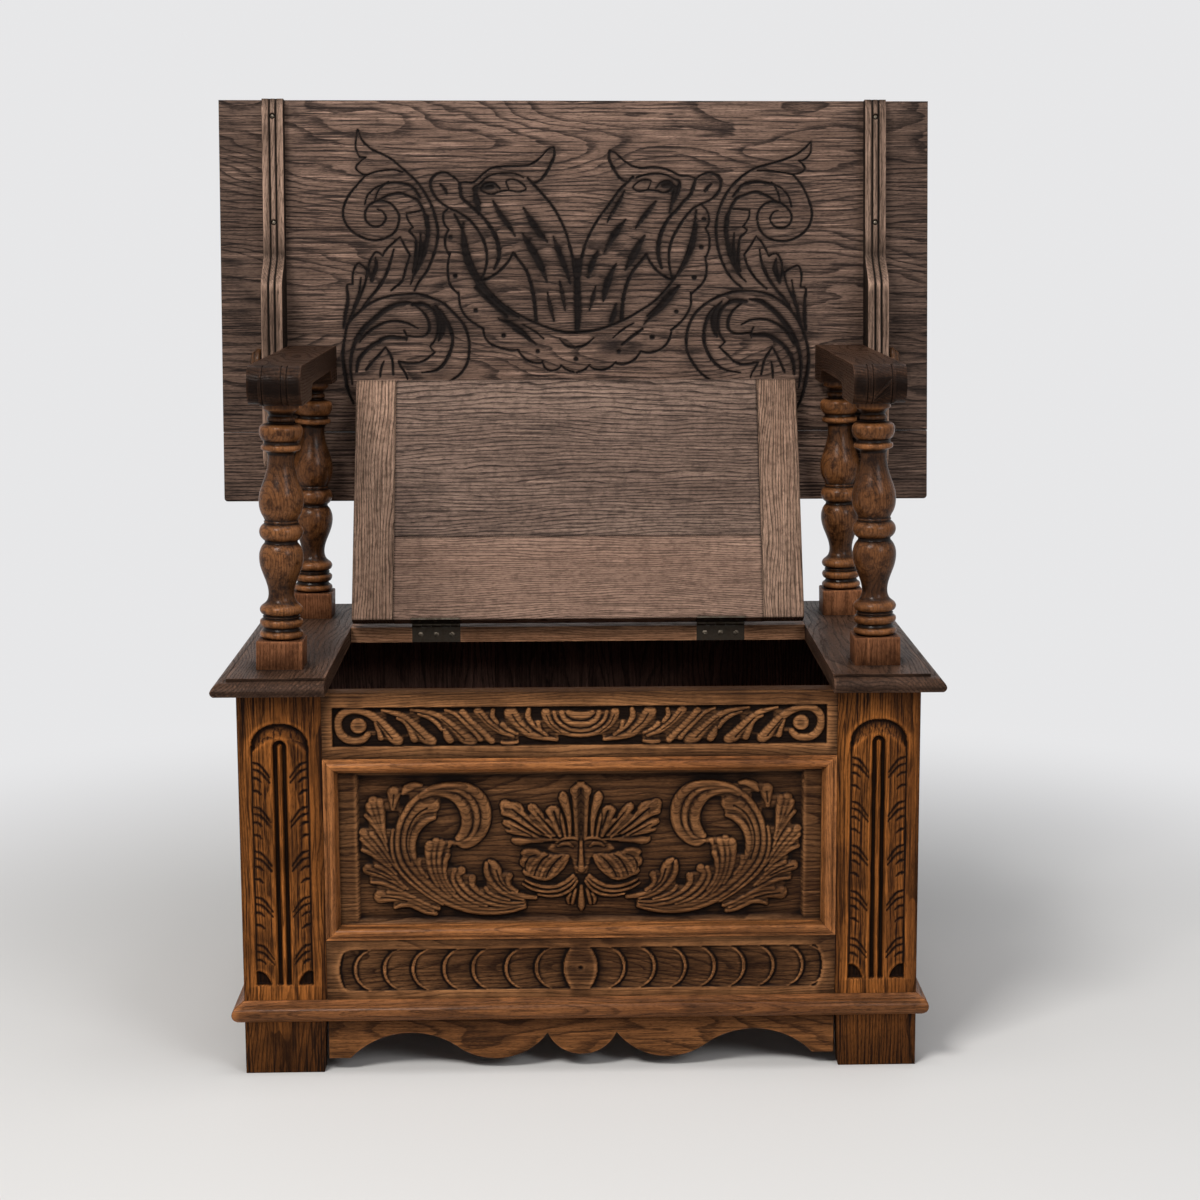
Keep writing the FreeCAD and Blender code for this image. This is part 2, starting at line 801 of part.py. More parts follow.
def arm_section(x, thickness, arch_height):
    """A slice of an arm: a roll in front, an arched underside, and a rounded heel at the pivot."""
    radius = thickness / 2
    roll_y = arm_front + arm_thickness / 2
    bottom = arm_top - thickness
    arch_top = arm_bottom + arch_height
    arch_front = front_post_y + arm_arch_behind_front
    arch_rear = rear_post_y - arm_arch_before_rear
    bend = arch_top - bottom
    slant = math.sqrt(0.5)
    heel_z = pivot_z + math.sqrt(pivot_drop * pivot_drop - pivot_inset * pivot_inset)
    heel_angle = math.atan2(heel_z - pivot_z, pivot_inset) / 2 + math.pi / 4
    face = outline(in_yz, (roll_y, arm_top), (
        ((pivot_y, arm_top),),
        ((pivot_y + pivot_drop * math.cos(heel_angle), pivot_z + pivot_drop * math.sin(heel_angle)),
         (arm_rear, heel_z)),
        ((arm_rear, bottom),),
        ((arch_rear, bottom),),
        ((arch_rear - 2 * bend * (1 - slant), bottom + bend * slant), (arch_rear - 2 * bend, arch_top)),
        ((arch_front + bend, arch_top),),
        ((arch_front + bend * (1 - slant), bottom + bend * slant), (arch_front, bottom)),
        ((roll_y, bottom),),
        ((roll_y - radius, arm_top - radius), (roll_y, arm_top)),
    ))
    section = face.extrude(V(x[1] - x[0], 0, 0))
    section.translate(V(x[0], 0, 0))
    return section


def arm_solid():
    """The right arm, with grooves round its roll and a bore for the pivot peg."""
    body_x = (arm_inner, arm_inner + arm_body_width)
    body = arm_section(body_x, arm_thickness, arm_arch_height)
    cheek = arm_section((body_x[1], arm_outer), arm_thickness - arm_cheek_step, arm_arch_height)
    roll_y = arm_front + arm_thickness / 2
    roll_z = arm_top - arm_thickness / 2
    grooves = []
    for inset in arm_groove_insets:
        start = V(arm_inner + inset, roll_y, roll_z)
        outer = rod(start, V(1, 0, 0), arm_groove_width, arm_thickness)
        inner = rod(start, V(1, 0, 0), arm_groove_width, arm_thickness / 2 - arm_groove_depth)
        ahead = block(
            (arm_inner, arm_outer), (roll_y - 2 * arm_thickness, roll_y - arm_groove_width),
            (roll_z - 2 * arm_thickness, roll_z + 2 * arm_thickness))
        grooves.append(outer.cut(inner).common(ahead))
    bore = rod(
        V(arm_outer - peg_seat_depth, pivot_y, pivot_z), V(1, 0, 0), peg_seat_depth + arm_cheek_width,
        peg_radius + running_clearance)
    arm = body.fuse(cheek).cut(grooves + [bore])
    return arm.cut(post_holes(front_post_y) + post_holes(rear_post_y)).removeSplitter()


def peg_solid():
    """The right pivot peg: a shank through the batten into the arm, and a turned knob."""
    start = arm_outer - peg_seat_depth + joint_clearance
    neck = batten_outer + knob_gap
    body = neck + knob_neck_length
    dome = body + knob_body_length
    tip = dome + knob_dome_length
    face = outline(in_xz, (start, 0), (
        ((start, peg_radius),),
        ((neck, peg_radius),),
        ((neck, knob_neck_radius),),
        ((body, knob_neck_radius),),
        ((body, knob_radius),),
        ((dome, knob_radius),),
        ((tip, knob_end_radius),),
        ((tip, 0),),
    ))
    peg = face.revolve(V(0, 0, 0), V(1, 0, 0), 360)
    peg.translate(V(0, pivot_y, pivot_z))
    return peg


# Table top, drawn lying on the arms: its upper edge in use as a back rest points to the front

def at_table(up, depth):
    """A point of the table top: up along it from the pivot, and down from its underside."""
    return V(0, pivot_y - up, pivot_z + table_offset - depth)


table_upper_edge = table_length - table_below_pivot


def table_board(index):
    """A board of the top, counted from its upper edge, with the corners rounded."""
    up_high = table_upper_edge - sum(table_board_widths[:index])
    up_low = up_high - table_board_widths[index]
    gap_high = seam_gap / 2 if index > 0 else 0
    gap_low = seam_gap / 2 if index < len(table_board_widths) - 1 else 0
    low = at_table(up_high - gap_high, 0)
    high = at_table(up_low + gap_low, 0)
    board = block(
        (-table_width / 2, table_width / 2), (low.y, high.y), (low.z, low.z + table_thickness))
    corners = []
    for edge in board.Edges:
        upright = edge.BoundBox.ZLength > table_thickness / 2
        outer_high = index == 0 and abs(edge.BoundBox.YMin - low.y) < 1e-6
        outer_low = index == len(table_board_widths) - 1 and abs(edge.BoundBox.YMin - high.y) < 1e-6
        if upright and (outer_high or outer_low):
            corners.append(edge)
    if corners:
        board = board.makeFillet(table_corner_radius, corners)
    return board.cut(batten_screw_solids())


def batten_solid():
    """The right batten: slim above, an ogee, and a deep part slotted for the pivot peg."""
    top = table_upper_edge
    ogee_end = batten_ogee_start - batten_ogee_length
    ogee_middle = (batten_ogee_start + ogee_end) / 2
    ogee_depth = (batten_slim_depth + batten_deep_depth) / 2
    hollow = (batten_ogee_length / 2) * (1 - math.sqrt(0.5))
    fall = (ogee_depth - batten_slim_depth) * math.sqrt(0.5)
    bottom = -batten_end_below
    radius = batten_end_radius
    slant = radius * (1 - math.sqrt(0.5))
    face = outline(at_table, (top, 0), (
        ((top, batten_slim_depth),),
        ((batten_ogee_start, batten_slim_depth),),
        ((batten_ogee_start - hollow, batten_slim_depth + fall), (ogee_middle, ogee_depth)),
        ((ogee_end + hollow, batten_deep_depth - fall), (ogee_end, batten_deep_depth)),
        ((bottom + radius, batten_deep_depth),),
        ((bottom + slant, batten_deep_depth - slant), (bottom, batten_deep_depth - radius)),
        ((bottom, 0),),
    ))
    batten = face.extrude(V(batten_width, 0, 0))
    slot_radius = peg_radius + slot_clearance
    slot = outline(at_table, (0, table_offset - slot_radius), (
        ((-table_slide, table_offset - slot_radius),),
        ((-table_slide - slot_radius, table_offset), (-table_slide, table_offset + slot_radius)),
        ((0, table_offset + slot_radius),),
        ((slot_radius, table_offset), (0, table_offset - slot_radius)),
    )).extrude(V(batten_width, 0, 0))
    cuts = [slot]
    for inset in (batten_groove_inset, batten_width - batten_groove_inset - batten_groove_width):
        for up, depth in (((top, batten_ogee_start), batten_slim_depth), ((ogee_end, bottom), batten_deep_depth)):
            high = at_table(up[0], depth)
            low = at_table(up[1], depth - batten_groove_depth)
            cuts.append(block((inset, inset + batten_groove_width), (high.y, low.y), (high.z, low.z)))
    batten = batten.cut(cuts)
    batten.translate(V(batten_inner, 0, 0))
    return batten.cut(batten_screw_solids())


def batten_screw_solids():
    """The screws that hold the battens to the two upper boards."""
    screws = []
    for side in (-1, 1):
        for height in batten_screw_heights:
            start = at_table(height, batten_slim_depth)
            start.x = side * (batten_inner + batten_width / 2)
            screws.append(rod(start, V(0, 0, 1), batten_screw_length, batten_screw_radius))
    return screws


# All the pieces by name

nodes = {
    "front_top_rail": front_top_rail,
    "front_bottom_rail": front_bottom_rail,
    "front_panel": front_panel,
    "front_apron": apron_solid(),
    "back_top_rail": back_top_rail,
    "back_bottom_rail": back_bottom_rail,
    "floor_board_front": floor_board_front,
    "floor_board_rear": floor_board_rear,
    "floor_bearers": floor_bearers_solids(),
    "seat_back_board": seat_back_solid(),
    "lid_board_lower": opened(lid_board(lid_board_seam, lid_rear).cut(hinge_rooms("lid"))),
    "lid_board_upper": opened(lid_board(lid_front, lid_board_seam)),
    "hinge_pins": Part.makeCompound([hinge_pin(-hinge_centre), hinge_pin(hinge_centre)]),
    "hinge_screws_seat": Part.makeCompound(hinge_screws(-hinge_centre, "seat") + hinge_screws(hinge_centre, "seat")),
    "hinge_screws_lid": opened(Part.makeCompound(
        hinge_screws(-hinge_centre, "lid") + hinge_screws(hinge_centre, "lid"))),
    "batten_screws": raised(Part.makeCompound(batten_screw_solids())),
}
for side_name, strip in panel_mouldings().items():
    nodes["panel_moulding_" + side_name] = strip
for board_index, board_name in enumerate(("left", "centre", "right")):
    nodes["back_board_" + board_name] = back_board(board_index)
for board_index in range(len(table_board_widths)):
    nodes["table_board_%d" % (board_index + 1)] = raised(table_board(board_index))
nodes["plinth_front"], plinth_side = plinths()

right_hand = {
    "front_stile": front_stile,
    "side_stile": side_stile,
    "rear_leg": rear_leg,
    "side_top_rail": side_top_rail,
    "side_bottom_rail": side_bottom_rail,
    "side_panel": side_panel,
    "plinth": plinth_side,
    "seat_end": seat_end_solid(),
    "lid_cleat": opened(lid_cleat()),
    "hinge_leaf_seat": hinge_leaf(hinge_centre, "seat"),
    "hinge_leaf_lid": opened(hinge_leaf(hinge_centre, "lid")),
    "front_post": post(front_post_y),
    "rear_post": post(rear_post_y),
    "arm": arm_solid(),
    "pivot_peg": peg_solid(),
    "batten": raised(batten_solid()),
}
for name, solid in right_hand.items():
    nodes[name + "_right"] = solid
    nodes[name + "_left"] = mirrored(solid)

print("table turns down by %.4f degrees, lid shuts by %.4f degrees" % (table_angle, lid_angle))
print("pivot at %.3f, %.3f and lid pin at %.3f, %.3f" % (pivot_y, pivot_z, pin_y, pin_z))

os.makedirs("parts", exist_ok=True)
for name, shape in sorted(nodes.items()):
    shape.exportStep("parts/%s.step" % name)
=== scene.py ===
"""The monks bench's visual model: carved and turned pieces, finishes, floor, light and camera."""

import json
import math

import bmesh
import bpy
import numpy as np
from mathutils import Matrix, Vector


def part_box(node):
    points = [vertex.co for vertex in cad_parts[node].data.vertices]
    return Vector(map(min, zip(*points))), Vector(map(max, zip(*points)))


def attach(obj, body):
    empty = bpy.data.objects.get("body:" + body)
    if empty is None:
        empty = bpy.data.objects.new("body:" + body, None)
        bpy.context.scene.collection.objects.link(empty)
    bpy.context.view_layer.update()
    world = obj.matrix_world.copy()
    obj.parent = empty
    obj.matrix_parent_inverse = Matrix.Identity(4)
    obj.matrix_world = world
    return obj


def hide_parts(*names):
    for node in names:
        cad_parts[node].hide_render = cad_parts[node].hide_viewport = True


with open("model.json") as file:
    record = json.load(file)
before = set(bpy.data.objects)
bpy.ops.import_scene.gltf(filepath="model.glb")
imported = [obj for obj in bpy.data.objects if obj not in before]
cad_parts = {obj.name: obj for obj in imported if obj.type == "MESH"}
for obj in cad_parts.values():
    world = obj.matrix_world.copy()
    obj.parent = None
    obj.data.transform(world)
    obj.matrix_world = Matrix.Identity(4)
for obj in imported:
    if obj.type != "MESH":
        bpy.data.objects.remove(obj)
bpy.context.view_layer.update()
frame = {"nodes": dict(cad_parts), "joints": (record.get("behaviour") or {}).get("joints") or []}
joints = {joint["name"]: joint for joint in frame["joints"]}

# A millimetre in metres, and a metre in millimetres
MM = 0.001
METRE = 1000
sides = (("right", 1), ("left", -1))

# The bench's own directions and planes, in metres, as the frame has them
sideways = Vector((1, 0, 0))
forwards = Vector((0, -1, 0))
backwards = Vector((0, 1, 0))
upwards = Vector((0, 0, 1))
downwards = Vector((0, 0, -1))
chest_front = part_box("front_stile_right")[0].y
stile_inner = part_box("front_stile_right")[0].x
plinth_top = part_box("plinth_front")[1].z
seat_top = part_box("seat_end_right")[1].z
pivot_place = Vector(joints["table_tilt"]["pos_m"])


def leaning_up(joint_name):
    """Upwards in a part that leans back at rest by what its joint turns past 90 degrees."""
    lean = math.radians(joints[joint_name]["range_deg"][1] - 90)
    return Vector((0, math.sin(lean), math.cos(lean)))


def centre_of(node_name, axis):
    """The middle of a node's box along an axis, in metres."""
    low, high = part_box(node_name)
    return (low[axis] + high[axis]) / 2


def node_corners(node_name):
    """The points of a node's own mesh, in metres."""
    return np.array([vertex.co for vertex in frame["nodes"][node_name].data.vertices])


def add_object(name, data):
    """A new object in the scene."""
    piece = bpy.data.objects.new(name, data)
    bpy.context.scene.collection.objects.link(piece)
    return piece


table_up = leaning_up("table_tilt")
table_out = sideways.cross(table_up)
lid_up = leaning_up("lid_hinge")
# The pegs' height up the table top, in mm
pivot_level = METRE * pivot_place.dot(table_up)


# Camera, floor and light

camera_place = Vector((-0.0111, chest_front - 2.43356, 0.875))
camera_yaw = math.radians(2.294)
camera_pitch = math.radians(9.178)
camera_sensor = 36.0
camera_lens = 73.8
camera_shift = (-0.0550, 0.0065)
camera_clip = 60.0
floor_half = 14.0
floor_fade = (0.5, 1.6)
floor_colour = (0.74, 0.73, 0.72, 1.0)
backdrop_colour = (0.80, 0.80, 0.81, 1.0)
sky_colour = (0.95, 0.97, 1.0, 1.0)
sky_strength = 0.13
lamp_target = Vector((0, 0, 0.5))
# Each lamp's place, size, watts and colour
lamps = {
    "key_lamp": ((-1.3, -2.3, 3.0), (1.2, 0.9), 90.0, (1.0, 0.98, 0.95)),
    "fill_lamp": ((1.8, -2.6, 2.0), (1.2, 1.2), 30.0, (0.98, 0.99, 1.0)),
    "top_lamp": ((0.2, -0.5, 3.3), (2.0, 1.4), 36.0, (1.0, 1.0, 1.0)),
}


def make_camera():
    data = bpy.data.cameras.new("camera")
    data.sensor_width = camera_sensor
    data.lens = camera_lens
    data.shift_x, data.shift_y = camera_shift
    data.clip_end = camera_clip
    camera = add_object("camera", data)
    camera.location = camera_place
    camera.rotation_euler = (math.pi / 2 - camera_pitch, 0, -camera_yaw)
    bpy.context.scene.camera = camera


class Graph:
    """The node tree of a material or world: values that are sockets are linked, and others are set."""

    def __init__(self, owner):
        owner.use_nodes = True
        self.tree = owner.node_tree
        self.tree.nodes.clear()

    def add(self, kind, inputs=None, **settings):
        node = self.tree.nodes.new(kind)
        for name, value in settings.items():
            setattr(node, name, value)
        for name, value in (inputs or {}).items():
            if isinstance(value, bpy.types.NodeSocket):
                self.tree.links.new(value, node.inputs[name])
            else:
                node.inputs[name].default_value = value
        return node

    def math(self, operation, first, second=0.0, clamp=False):
        inputs = {0: first, 1: second}
        return self.add("ShaderNodeMath", inputs, operation=operation, use_clamp=clamp).outputs[0]

    def vector(self, operation, inputs):
        return self.add("ShaderNodeVectorMath", inputs, operation=operation)

    def times(self, first, second):
        return self.math("MULTIPLY", first, second)

    def weighted(self, start, *terms, clamp=False):
        """A start value plus each term's value times its weight."""
        total = start
        for value, weight in terms:
            total = self.math("ADD", total, self.times(value, weight), clamp)
        return total

    def mix(self, factor, *colours):
        """From the first colour to the second."""
        first, second = (c if isinstance(c, bpy.types.NodeSocket) else (*c, 1.0) for c in colours)
        return self.add("ShaderNodeMix", {0: factor, 6: first, 7: second}, data_type="RGBA").outputs[2]

    def lighten(self, colour, amount):
        return self.add("ShaderNodeHueSaturation", {"Color": colour, "Value": amount}).outputs[0]

    def steps(self, value, low, high, low_out=0.0, high_out=1.0):
        """A smooth step from low_out to high_out as a value goes from low to high."""
        inputs = {0: value, 1: low, 2: high, 3: low_out, 4: high_out}
        return self.add("ShaderNodeMapRange", inputs, interpolation_type="SMOOTHSTEP").outputs[0]

    def noise(self, vector, scale, detail, roughness):
        inputs = {"Vector": vector, "Scale": scale, "Detail": detail, "Roughness": roughness}
        return self.add("ShaderNodeTexNoise", inputs).outputs[0]

    def nearness(self, distance, low, high, **settings):
        """1 where other surfaces are near, or with inside where an edge is, and 0 in the open."""
        node = self.add("ShaderNodeAmbientOcclusion", {"Distance": distance}, samples=3, **settings)
        return self.steps(node.outputs["AO"], low, high, 1.0, 0.0)

    def seen_directly(self):
        """1 where a camera, mirror or glass ray looks, and 0 where light is gathered."""
        rays = self.add("ShaderNodeLightPath").outputs
        seen = self.math("MAXIMUM", rays["Is Camera Ray"], rays["Is Transmission Ray"])
        return self.math("MAXIMUM", seen, rays["Is Glossy Ray"])

    def surface(self, inputs):
        shader = self.add("ShaderNodeBsdfPrincipled", inputs)
        self.add("ShaderNodeOutputMaterial", {"Surface": shader.outputs[0]})


def make_stage():
    """A plain pale floor that fades into a pale surround."""
    mesh = bpy.data.meshes.new("floor")
    corners = [(-floor_half, -floor_half, 0), (floor_half, -floor_half, 0), (floor_half, floor_half, 0),
               (-floor_half, floor_half, 0)]
    mesh.from_pydata(corners, [], [(0, 1, 2, 3)])
    floor = add_object("floor", mesh)
    material = bpy.data.materials.new("floor_pale")
    g = Graph(material)
    place = g.add("ShaderNodeTexCoord").outputs["Object"]
    distance = g.vector("LENGTH", {0: place}).outputs["Value"]
    fade = g.times(g.steps(distance, *floor_fade), g.seen_directly())
    shader = g.add("ShaderNodeBsdfPrincipled", {"Base Color": floor_colour, "Roughness": 0.75})
    glow = g.add("ShaderNodeEmission", {"Color": backdrop_colour, "Strength": 1.0})
    mixed = g.add("ShaderNodeMixShader", {0: fade, 1: shader.outputs[0], 2: glow.outputs[0]})
    g.add("ShaderNodeOutputMaterial", {"Surface": mixed.outputs[0]})
    mesh.materials.append(material)

    world = bpy.data.worlds.new("surround")
    bpy.context.scene.world = world
    g = Graph(world)
    light = g.add("ShaderNodeBackground", {"Color": sky_colour, "Strength": sky_strength})
    backdrop = g.add("ShaderNodeBackground", {"Color": backdrop_colour, "Strength": 1.0})
    mixed = g.add("ShaderNodeMixShader", {0: g.seen_directly(), 1: light.outputs[0], 2: backdrop.outputs[0]})
    g.add("ShaderNodeOutputWorld", {"Surface": mixed.outputs[0]})


def make_lights():
    for name, (place, size, power, colour) in lamps.items():
        data = bpy.data.lights.new(name, "AREA")
        data.shape = "RECTANGLE"
        data.size, data.size_y = size
        data.energy = power
        data.color = colour
        lamp = add_object(name, data)
        lamp.location = place
        lamp.rotation_euler = (lamp_target - Vector(place)).to_track_quat("-Z", "Y").to_euler()


# Wood

# Each grain is its own direction, then the board's width and its thickness
grain_x = (sideways, upwards, forwards)
grain_y = (backwards, sideways, downwards)
grain_z = (upwards, sideways, backwards)
grain_table = (sideways, table_up, table_up.cross(sideways))
grain_batten = (table_up, sideways, table_up.cross(sideways))
grain_lid = (sideways, lid_up, lid_up.cross(sideways))
grain_cleat = (lid_up, sideways, lid_up.cross(sideways))
# Noises drawn out along the grain: scales along and across it, detail and roughness
wander_noise = (2.2, 9.0, 2.0, 0.5)
ripple_noise = (14.0, 60.0, 2.0, 0.6)
pore_noise = (170.0, 2600.0, 1.0, 0.5)
fibre_noise = (28.0, 900.0, 2.0, 0.65)
dash_noise = (13.0, 420.0, 3.0, 0.65)
glint_noise = (8.0, 290.0, 3.0, 0.7)
cloud_noise = (3.0, 14.0, 3.0, 0.55)
# Noises without a direction: scale, detail and roughness
blotch_noise = (16.0, 3.0, 0.6)
mottle_noise = (95.0, 4.0, 0.7)
rubbing_noise = (26.0, 2.0, 0.6)
# How far, in metres, boards shift by their own random number, trunks lie apart and rings bend
board_shift = (3.7, 1.3, 0.0)
trunk_spacing = 0.31
wander_bend = 0.055
ripple_bend = 0.0035
# How far, in metres, the painted shade in corners reaches
corner_shade_reach = 0.022
wood_bump = 0.00035
# How many times as light as the tones the places lit by wear and painted highlight are, and the brightest
# tone and the darkest one, which painted shade and dark seams take
worn_and_lit_gain = 2.3
bright_gain = 1.75
black_gain = 0.3


def oak(name, grain, tones, ring_width=2.8, ring_strength=0.6, ring_depth=90.0, waver=1.0, streaks=0.55,
        pale=0.5, blotches=0.5, mottle=0.0, end_grain=0.5, wear_and_highlight=0.5, dirt_and_shade=0.6, carved=False, rim_reach=0.0035,
        seam=0.0, shade=None, gloss=0.42, coat=0.0, shine=0.08):
    """Waxed oak: growth rings seen on a flat-sawn board, pores, blotches, corners darkened by dirt and
    painted shade, and edges lightened by wear and painted highlight.
    """
    material = bpy.data.materials.new(name)
    g = Graph(material)
    dark, middle, light = tones
    bright = tuple(min(1.0, bright_gain * value) for value in light)
    black = tuple(black_gain * value for value in dark)
    coordinates = g.add("ShaderNodeTexCoord").outputs
    place = coordinates["Object"]
    piece = g.add("ShaderNodeObjectInfo").outputs["Random"]
    turned = g.add("ShaderNodeMapping", {"Vector": place, "Rotation": Matrix(grain).to_euler()}).outputs[0]
    shift = g.vector("SCALE", {0: board_shift, "Scale": piece}).outputs[0]
    own = g.vector("ADD", {0: turned, 1: shift}).outputs[0]

    def figure(along, across, detail, roughness):
        drawn_out = g.vector("MULTIPLY", {0: own, 1: (along, across, across)}).outputs[0]
        return g.noise(drawn_out, 1.0, detail, roughness)

    # Growth rings round a pith far under the board, bent by slow waves along the grain
    parts = g.add("ShaderNodeSeparateXYZ", {0: own}).outputs
    across = g.math("MODULO", parts[1], trunk_spacing)
    deep = g.math("ADD", parts[2], ring_depth * MM)
    radius = g.math("SQRT", g.weighted(0.0, (across, across), (deep, deep)))
    wander = figure(*wander_noise)
    ripple = figure(*ripple_noise)
    radius = g.weighted(radius, (wander, wander_bend), (ripple, ripple_bend * waver))
    phase = g.math("FRACT", g.times(radius, METRE / ring_width))
    ring = g.math("MAXIMUM", g.steps(phase, 0.0, 0.42, 1.0, 0.0), g.steps(phase, 0.93, 1.0))

    # Pores, most of them in the rings, with longer dashes and pale glints between them
    fibre = figure(*fibre_noise)
    pores = g.steps(g.weighted(figure(*pore_noise), (ring, 0.16)), 0.54, 0.68)
    lines = g.times(ring, g.steps(fibre, 0.32, 0.58))
    dashes = g.steps(figure(*dash_noise), 0.49, 0.62)
    glints = g.steps(figure(*glint_noise), 0.53, 0.68)

    # Slow changes of tone, then the figure over them, and each piece a little lighter or darker
    tone = g.steps(g.weighted(0.0, (figure(*cloud_noise), 0.6), (fibre, 0.4)), 0.34, 0.66)
    colour = g.mix(g.times(glints, pale), g.mix(tone, middle, light), bright)
    for amount, strength in ((lines, ring_strength), (pores, 0.6), (dashes, streaks)):
        colour = g.mix(g.times(amount, strength), colour, dark)
    colour = g.mix(g.steps(g.noise(own, *blotch_noise), 0.50, 0.76, 0.0, blotches), colour, dark)
    if mottle > 0:
        colour = g.mix(g.steps(g.noise(own, *mottle_noise), 0.46, 0.66, 0.0, mottle), colour, dark)
    facing = g.vector("DOT_PRODUCT", {0: coordinates["Normal"], 1: grain[0]}).outputs["Value"]
    colour = g.mix(g.steps(g.math("ABSOLUTE", facing), 0.80, 0.97, 0.0, end_grain), colour, dark)
    tint = g.lighten(colour, g.weighted(0.88, (piece, 0.24)))

    # Dirt and painted shade darken the corners and hollows, and wear and painted highlight lighten the edges
    # and ridges
    uneven = g.steps(g.noise(own, *rubbing_noise), 0.35, 0.62)
    if carved:
        corner = g.add("ShaderNodeAttribute", attribute_name="hollow").outputs["Fac"]
        ridge = g.add("ShaderNodeAttribute", attribute_name="ridge").outputs["Fac"]
        rub_and_highlight = g.times(ridge, g.weighted(0.5, (uneven, 0.5)))
    else:
        # Dirt and painted shade: darker where other surfaces are near
        corner = g.nearness(corner_shade_reach, 0.35, 0.95)
        rim = g.nearness(rim_reach, 0.45, 0.90, inside=True, only_local=True)
        rub_and_highlight = g.times(rim, uneven)
        if seam > 0:
            tint = g.mix(g.times(rim, seam), tint, black)
    if shade is not None:
        axis, start, end, amount = shade
        reach = g.math("ABSOLUTE", g.add("ShaderNodeSeparateXYZ", {0: place}).outputs[axis])
        corner = g.math("MAXIMUM", corner, g.steps(reach, start, end, 0.0, amount))
    # Edges and ridges lightened by wear and painted highlight, then corners darkened by dirt and painted
    # shade
    worn_and_lit = g.mix(g.times(rub_and_highlight, wear_and_highlight), tint, g.mix(0.3, g.lighten(tint, worn_and_lit_gain), bright))
    dirtied_and_shaded = g.mix(g.times(corner, dirt_and_shade), worn_and_lit, black)

    rough = g.weighted(gloss - 0.08, (pores, 0.22), (fibre, 0.16), (corner, 0.2), clamp=True)
    height = g.weighted(0.0, (pores, -0.6), (lines, -0.35), (fibre, 0.25))
    bump = g.add("ShaderNodeBump", {"Height": height, "Distance": wood_bump, "Strength": 0.7})
    g.surface({
        "Base Color": dirtied_and_shaded, "Roughness": rough, "Normal": bump.outputs[0], "Coat Weight": coat,
        "Coat Roughness": 0.22, "Specular IOR Level": shine})
    return material


patina_noise = (180.0, 4.0, 0.65)
patina_share = 0.4
patina_colour = (0.045, 0.026, 0.015)
scratch_noise = (900.0, 2.0, 0.6)
scratch_bump = 0.0002


def metal(name, colour, rough):
    """Dull iron with a brown patina."""
    material = bpy.data.materials.new(name)
    g = Graph(material)
    place = g.add("ShaderNodeTexCoord").outputs["Object"]
    patina = g.steps(g.noise(place, *patina_noise), 0.4, 0.66)
    scratch = g.noise(place, *scratch_noise)
    bump = g.add("ShaderNodeBump", {"Height": scratch, "Distance": scratch_bump, "Strength": 0.5})
    g.surface({
        "Base Color": g.mix(g.times(patina, patina_share), colour, patina_colour), "Metallic": 0.9,
        "Roughness": g.weighted(rough - 0.1, (patina, 0.25), (scratch, 0.2), clamp=True),
        "Normal": bump.outputs[0]})
    return material


# Each wood's dark, middle and light tone
tones = {
    "chest": ((0.014, 0.005, 0.002), (0.110, 0.040, 0.012), (0.215, 0.086, 0.028)),
    "stile": ((0.013, 0.004, 0.001), (0.104, 0.033, 0.007), (0.215, 0.073, 0.015)),
    "carved": ((0.010, 0.003, 0.001), (0.070, 0.027, 0.009), (0.190, 0.085, 0.033)),
    "moulding": ((0.024, 0.008, 0.003), (0.200, 0.070, 0.020), (0.350, 0.135, 0.042)),
    "plinth": ((0.012, 0.004, 0.001), (0.122, 0.042, 0.012), (0.225, 0.086, 0.028)),
    # The seat's back board has tones about twice as light as the chest's: painted light that makes up for the
    # lid's shadow over it
    "back": ((0.060, 0.028, 0.014), (0.270, 0.125, 0.064), (0.400, 0.205, 0.112)),
    "post": ((0.010, 0.003, 0.001), (0.094, 0.033, 0.010), (0.205, 0.082, 0.029)),
    "block": ((0.030, 0.010, 0.004), (0.172, 0.064, 0.026), (0.262, 0.106, 0.047)),
    "arm": ((0.005, 0.002, 0.001), (0.022, 0.010, 0.006), (0.052, 0.025, 0.014)),
    "knob": ((0.008, 0.003, 0.001), (0.046, 0.020, 0.009), (0.092, 0.042, 0.019)),
    "seat": ((0.010, 0.005, 0.003), (0.050, 0.025, 0.015), (0.108, 0.056, 0.034)),
    "upper": ((0.018, 0.012, 0.010), (0.152, 0.097, 0.073), (0.240, 0.160, 0.122)),
    # The lid's lower board has tones about twice as light as the upper one's: painted light that makes up for
    # the shade that falls on it
    "lower": ((0.050, 0.030, 0.022), (0.300, 0.182, 0.131), (0.415, 0.262, 0.192)),
    "cleat": ((0.040, 0.023, 0.015), (0.297, 0.178, 0.121), (0.413, 0.263, 0.186)),
    "table": ((0.013, 0.009, 0.008), (0.130, 0.079, 0.057), (0.230, 0.145, 0.108)),
    "batten": ((0.014, 0.008, 0.005), (0.182, 0.113, 0.081), (0.300, 0.197, 0.145)),
    "inside": ((0.020, 0.012, 0.010), (0.120, 0.062, 0.046), (0.187, 0.105, 0.080)),
}
# Darker towards one end: the axis, where it starts and ends in metres, and how much
foot_shade = (2, 0.085, 0.025, 0.55)
table_shade = (0, 0.250, 0.410, 0.45)
plain_moulding = dict(ring_strength=0.25, streaks=0.35, wear_and_highlight=1.0, dirt_and_shade=1.0, coat=0.10, rim_reach=0.006)
plain_turning = dict(
    ring_strength=0.2, streaks=0.2, pale=0.25, blotches=1.0, mottle=0.8, wear_and_highlight=0.9, dirt_and_shade=1.0, gloss=0.28,
    carved=True, coat=0.15, shine=0.06, end_grain=0.0)
lid_figure = dict(ring_strength=0.95, gloss=0.5, blotches=0.2, wear_and_highlight=0.0, seam=0.95, rim_reach=0.0030)
